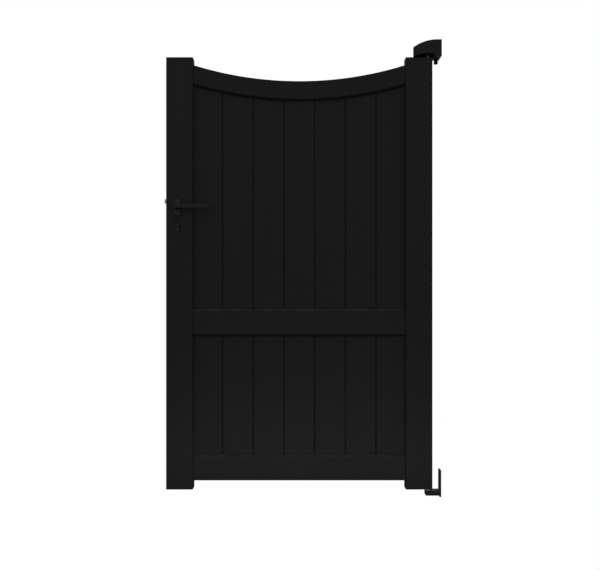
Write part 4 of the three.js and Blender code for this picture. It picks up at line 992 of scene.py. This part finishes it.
# ------------------
# Latch and dead bolt: sintered steel bolts, polished. The latch's nose is bevelled on the street
# side, so the closing gate pushes it in, and its tail lies over the follower inside the case.

LATCH_HEAD_LENGTH = 0.030
LATCH_BEVEL = 0.009
TAIL_HALF = 0.0025
LATCH_EASE = 0.0005
DEAD_BOLT_EASE = 0.0006
latch_head_end = latch_low.x + LATCH_HEAD_LENGTH
latch = saw_bar("latch_bolt_head", (latch_low.x, latch_low.y, latch_head_foot),
                (latch_head_end, latch_high.y, latch_high.z))
pick("EDGE", lambda e: runs_along(e, Z) and middle_of(e).x < latch_low.x + NEAR
     and middle_of(e).y < 0)
bpy.ops.transform.translate(value=(LATCH_BEVEL, 0, 0))
round_edges(LATCH_EASE, 3, lambda e: middle_of(e).x < latch_head_end - NEAR)
tail_top = lever_axis.z + 0.022
tail = saw_bar("tail", (latch_head_end - 0.002, -TAIL_HALF, lever_axis.z + 0.0175),
               (latch_high.x, TAIL_HALF, tail_top))
carve(latch, tail, "UNION")
lug = saw_bar("lug", (latch_high.x - 0.005, -TAIL_HALF, latch_low.z),
              (latch_high.x, TAIL_HALF, tail_top - 0.0004))
carve(latch, lug, "UNION")
fit(latch, "latch", "bright_steel", bright_steel, "latch_bolt")

bolt = saw_bar("dead_bolt_bar", bolt_low, bolt_high)
round_edges(DEAD_BOLT_EASE, 3, lambda e: True)
fit(bolt, "dead_bolt", "bright_steel", bright_steel, "dead_bolt")


# ------------------
# Rosettes: a cast zinc plate on each side of the stile, a flat oblong base with a raised body that
# the lever's neck turns in. Two bolts go through from the garden side into blind holes in front.

lever_enamel = coated("Black enamel on cast zinc", (0.0082, 0.0082, 0.0084, 1),
                      (0.0100, 0.0100, 0.0102, 1), (0.024, 0.023, 0.022, 1), 0.42, grain=2600.0,
                      depth=0.00003, dust=0.2)
ROSETTE_BASE = 0.003
ROSETTE_BODY_WIDTH = 0.022
ROSETTE_CORNER = 0.005
ROSETTE_FACE_EASE = 0.0016
ROSETTE_BASE_EASE = 0.0008
BOLT_HEAD_SINK = 0.0041

for node, out_y in (("rosette_front", -1), ("rosette_rear", 1)):
    low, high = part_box(node)
    wall_y = high.y if out_y < 0 else low.y
    base_y = wall_y + out_y * ROSETTE_BASE
    face_y = low.y if out_y < 0 else high.y
    rosette = saw_bar(node + "_plate", (low.x, min(wall_y, base_y), low.z),
                      (high.x, max(wall_y, base_y), high.z))
    round_edges(ROSETTE_CORNER, 8, lambda e: runs_along(e, Y))
    pick("FACE", lambda f: f.normal.y * out_y > 0.99)
    bpy.ops.mesh.inset(thickness=(high.x - low.x - ROSETTE_BODY_WIDTH) / 2)
    draw_out((0, face_y - base_y, 0))
    round_edges(ROSETTE_FACE_EASE, 4, lambda e: lies_at(e, Y, face_y))
    round_edges(ROSETTE_BASE_EASE, 3, lambda e: lies_at(e, Y, base_y) and is_sharp(e)
                and (abs(middle_of(e).x - lever_axis.x) > 0.0135
                     or abs(middle_of(e).z - lever_axis.z) > 0.0325))
    drill(rosette, NECK_RADIUS + FIT, (lever_axis.x, face_y + out_y * 0.002, lever_axis.z),
          (lever_axis.x, 0, lever_axis.z), 64)
    for bolt_height in bolt_heights:
        tip = face_y - out_y * 0.002 if out_y < 0 else face_y + 0.002
        drill(rosette, BOLT_HOLE_RADIUS, (lever_axis.x, tip, bolt_height),
              (lever_axis.x, 0, bolt_height), 24)
        if out_y > 0:
            drill(rosette, BOLT_HEAD_SINK, (lever_axis.x, face_y + 0.001, bolt_height),
                  (lever_axis.x, face_y - 0.0035, bolt_height), 32)
    fit(rosette, "leaf", "black_lever", lever_enamel, node)
give_finish(bright_steel, "rosette_bolt_upper", "rosette_bolt_lower")


# ------------------
# Levers: one cast zinc lever for each side, a flat bar on a round neck, with eased edges. The
# square spindle joins them through the lock, and a grub screw under each neck holds it.

LEVER_ROOT = 0.006
LEVER_TIP_SLANT = 0.003
LEVER_BAR_DEPTH = 0.011
LEVER_HEEL_CORNER = 0.0058
LEVER_TIP_CORNER = 0.0028
LEVER_NECK_FILLET = 0.0045
LEVER_FACE_EASE = 0.0019
LEVER_BACK_EASE = 0.0014
LEVER_NECK_EASE = 0.0005
SOCKET_HALF = 0.0043
GRUB_HOLE_RADIUS = 0.0028
low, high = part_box("lever_front")
bar_back = low.y + LEVER_BAR_DEPTH
lever = saw_bar("lever_front_cast", (low.x, low.y, low.z), (high.x, bar_back, high.z))
pick("EDGE", lambda e: runs_along(e, Y) and middle_of(e).x > high.x - NEAR
     and middle_of(e).z < lever_axis.z)
bpy.ops.transform.translate(value=(-LEVER_TIP_SLANT, 0, 0))
cut_across((lever_axis.x + NECK_RADIUS, 0, 0), (1, 0, 0))
round_edges(LEVER_HEEL_CORNER, 8, lambda e: runs_along(e, Y) and middle_of(e).x < low.x + NEAR)
round_edges(LEVER_TIP_CORNER, 5, lambda e: runs_along(e, Y) and middle_of(e).x > high.x - 0.004)
pick("FACE", lambda f: f.normal.y > 0.99 and centre(f).x < lever_axis.x + NECK_RADIUS)
draw_out((0, LEVER_ROOT, 0))
round_edges(LEVER_NECK_FILLET, 6, lambda e: runs_along(e, Z) and middle_at(e, Y, bar_back)
            and middle_at(e, X, lever_axis.x + NECK_RADIUS))
round_edges(LEVER_FACE_EASE, 4, lambda e: lies_at(e, Y, low.y) and is_sharp(e))
round_edges(LEVER_BACK_EASE, 3, lambda e: lies_at(e, Y, bar_back) and is_sharp(e)
            and middle_of(e).x > lever_axis.x + NECK_RADIUS + 0.005)
neck = round_bar("neck", NECK_RADIUS, (lever_axis.x, bar_back + LEVER_ROOT - 0.001, lever_axis.z),
                 (lever_axis.x, high.y, lever_axis.z), 64)
round_edges(LEVER_NECK_EASE, 2, lambda e: not runs_along(e, Y) and middle_of(e).y > high.y - NEAR)
carve(lever, neck, "UNION")
socket = saw_bar("socket",
                 (lever_axis.x - SOCKET_HALF, bar_back + 0.008, lever_axis.z - SOCKET_HALF),
                 (lever_axis.x + SOCKET_HALF, 0, lever_axis.z + SOCKET_HALF))
carve(lever, socket)
grub_low, grub_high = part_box("lever_grub_screw_front")
grub_axis = (grub_low + grub_high) / 2
drill(lever, GRUB_HOLE_RADIUS, (grub_axis.x, grub_axis.y, lever_axis.z - 0.012),
      (grub_axis.x, grub_axis.y, lever_axis.z - 0.002), 24)


def mirror_behind(piece, name):
    """The garden side's copy of a street-side piece, handed the other way."""
    take_up(piece)
    bpy.ops.object.duplicate(linked=False)
    twin = bpy.context.object
    twin.name = name
    bpy.ops.transform.resize(value=(1, -1, 1), center_override=(0, 0, 0))
    bpy.ops.object.transform_apply(location=True, rotation=True, scale=True)
    bpy.ops.object.mode_set(mode="EDIT")
    face_outward()
    bpy.ops.object.mode_set(mode="OBJECT")
    return twin


rear_lever = mirror_behind(lever, "lever_rear_cast")
fit(lever, "lever_set", "black_lever", lever_enamel, "lever_front")
fit(rear_lever, "lever_set", "black_lever", lever_enamel, "lever_rear")
give_finish(black_screw, "lever_grub_screw_front", "lever_grub_screw_rear")


# ------------------
# Key cylinder: a blackened brass body through the stile, with a turned plug in each end and the cam
# between them. The long screw in the forend goes into its tail.

black_brass = metal("Blackened brass", (0.022, 0.021, 0.020, 1), (0.034, 0.032, 0.030, 1), 0.42,
                    (700, 700, 700), metallic=0.7)
black_plug = metal("Blackened brass, turned", (0.016, 0.015, 0.015, 1), (0.026, 0.025, 0.024, 1),
                   0.36, (1800, 400, 1800), metallic=0.7)
PLUG_BORE = 0.0063
KEY_PROFILE_EASE = 0.0005
CAM_SPACE = 0.0155
CAM_SPACE_HALF = 0.005
PLUG_EASE = 0.0006
KEYWAY_HALF = 0.0008

body = key_profile("cylinder_body_drawn", cylinder_high.y - KEY_PROFILE_EASE, 0)
for radius, reach in ((PLUG_BORE, 0.05), (CAM_SPACE, CAM_SPACE_HALF)):
    drill(body, radius, key_axis - Vector((0, reach, 0)), key_axis + Vector((0, reach, 0)), 64)
bridge_height = edge_screws[2][2]
drill(body, BOLT_HOLE_RADIUS, (key_axis.x - 0.01, 0, bridge_height),
      (key_axis.x + 0.01, 0, bridge_height), 24)
bpy.ops.object.mode_set(mode="EDIT")
pick("FACE", lambda f: abs(f.normal.y) > 0.99 and abs(centre(f).y) > cylinder_high.y - 0.001)
bpy.ops.mesh.inset(thickness=KEY_PROFILE_EASE, depth=KEY_PROFILE_EASE)
fit(body, "leaf", "black_cylinder", black_brass, "cylinder_body")

low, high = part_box("cylinder_plug_front")
plug = round_bar("cylinder_plug_front_turned", (high.x - low.x) / 2,
                 (key_axis.x, high.y, key_axis.z), (key_axis.x, low.y, key_axis.z), 64)
round_edges(PLUG_EASE, 3, lambda e: not runs_along(e, Y) and middle_of(e).y < low.y + NEAR)
keyway = saw_bar("keyway", (key_axis.x - KEYWAY_HALF, low.y - 0.002, key_axis.z - 0.005),
                 (key_axis.x + KEYWAY_HALF, low.y + 0.022, key_axis.z + 0.003))
carve(plug, keyway)
rear_plug = mirror_behind(plug, "cylinder_plug_rear_turned")
fit(plug, "key_plug", "black_plug", black_plug, "cylinder_plug_front")
fit(rear_plug, "key_plug", "black_plug", black_plug, "cylinder_plug_rear")
give_finish(zinc_steel, "cylinder_cam")


# ------------------
# View, light and floor: a camera square on to the street face, broad soft lights overhead, in
# front, behind and at the upper left, and a low reflector by the foot, over a plain pale floor.

clear_selection()
bpy.ops.object.camera_add(location=(-0.5233, -3.108, 0.737), rotation=(math.pi / 2, 0, 0))
camera = bpy.context.object
camera.data.lens = 50
camera.data.sensor_width = 36
bpy.context.scene.camera = camera
bpy.context.scene.view_settings.view_transform = "Standard"


def light_unseen(tree, kind, output, strength):
    """Plain white to the camera, and its own strength of light for everything else."""
    tree.nodes.clear()
    white = add_node(tree, kind, (0, 120))
    cast = add_node(tree, kind, (0, -80))
    for node, value in ((white, 1.0), (cast, strength)):
        node.inputs["Color"].default_value = (1, 1, 1, 1)
        node.inputs["Strength"].default_value = value
    ray = add_node(tree, "ShaderNodeLightPath", (0, 420))
    either = add_node(tree, "ShaderNodeMixShader", (250, 0))
    end = add_node(tree, output, (500, 0))
    tree.links.new(ray.outputs["Is Camera Ray"], either.inputs["Fac"])
    tree.links.new(cast.outputs[0], either.inputs[1])
    tree.links.new(white.outputs[0], either.inputs[2])
    tree.links.new(either.outputs["Shader"], end.inputs["Surface"])


world = bpy.data.worlds.new("Studio")
bpy.context.scene.world = world
world.use_nodes = True
light_unseen(world.node_tree, "ShaderNodeBackground", "ShaderNodeOutputWorld", 0.415)


def softbox(name, place, towards, wide, tall, power):
    clear_selection()
    turn = (Vector(towards) - Vector(place)).to_track_quat("-Z", "Y").to_euler()
    bpy.ops.object.light_add(type="AREA", location=place, rotation=turn)
    light = bpy.context.object
    light.name = name
    light.data.shape = "RECTANGLE"
    light.data.size = wide
    light.data.size_y = tall
    light.data.energy = power
    light.visible_camera = False


softbox("Overhead softbox", (-0.5, -0.3, 3.4), (-0.5, 0, 0.8), 3.0, 1.6, 6.7)
softbox("Front softbox", (-0.5, -5.0, 1.2), (-0.5, 0, 0.8), 3.5, 2.5, 13.5)
softbox("Back softbox", (-0.5, 5.0, 1.2), (-0.5, 0, 0.8), 3.5, 2.5, 13.5)
softbox("Upper left softbox", (-3.0, -3.0, 2.4), (-0.5, 0, 0.9), 1.4, 1.4, 1.2)
softbox("Low reflector", (-0.5, -0.6, -0.045), (-0.5, 0, 0.1), 1.4, 0.2, 1.6)

clear_selection()
bpy.ops.mesh.primitive_circle_add(vertices=96, radius=9.0, fill_type="NGON",
                                  location=(-0.5, 0, -0.085))
floor = bpy.context.object
floor.name = "Pale floor"
pale = bpy.data.materials.new("Pale floor")
pale.use_nodes = True
light_unseen(pale.node_tree, "ShaderNodeEmission", "ShaderNodeOutputMaterial", 0.05)
floor.data.materials.append(pale)
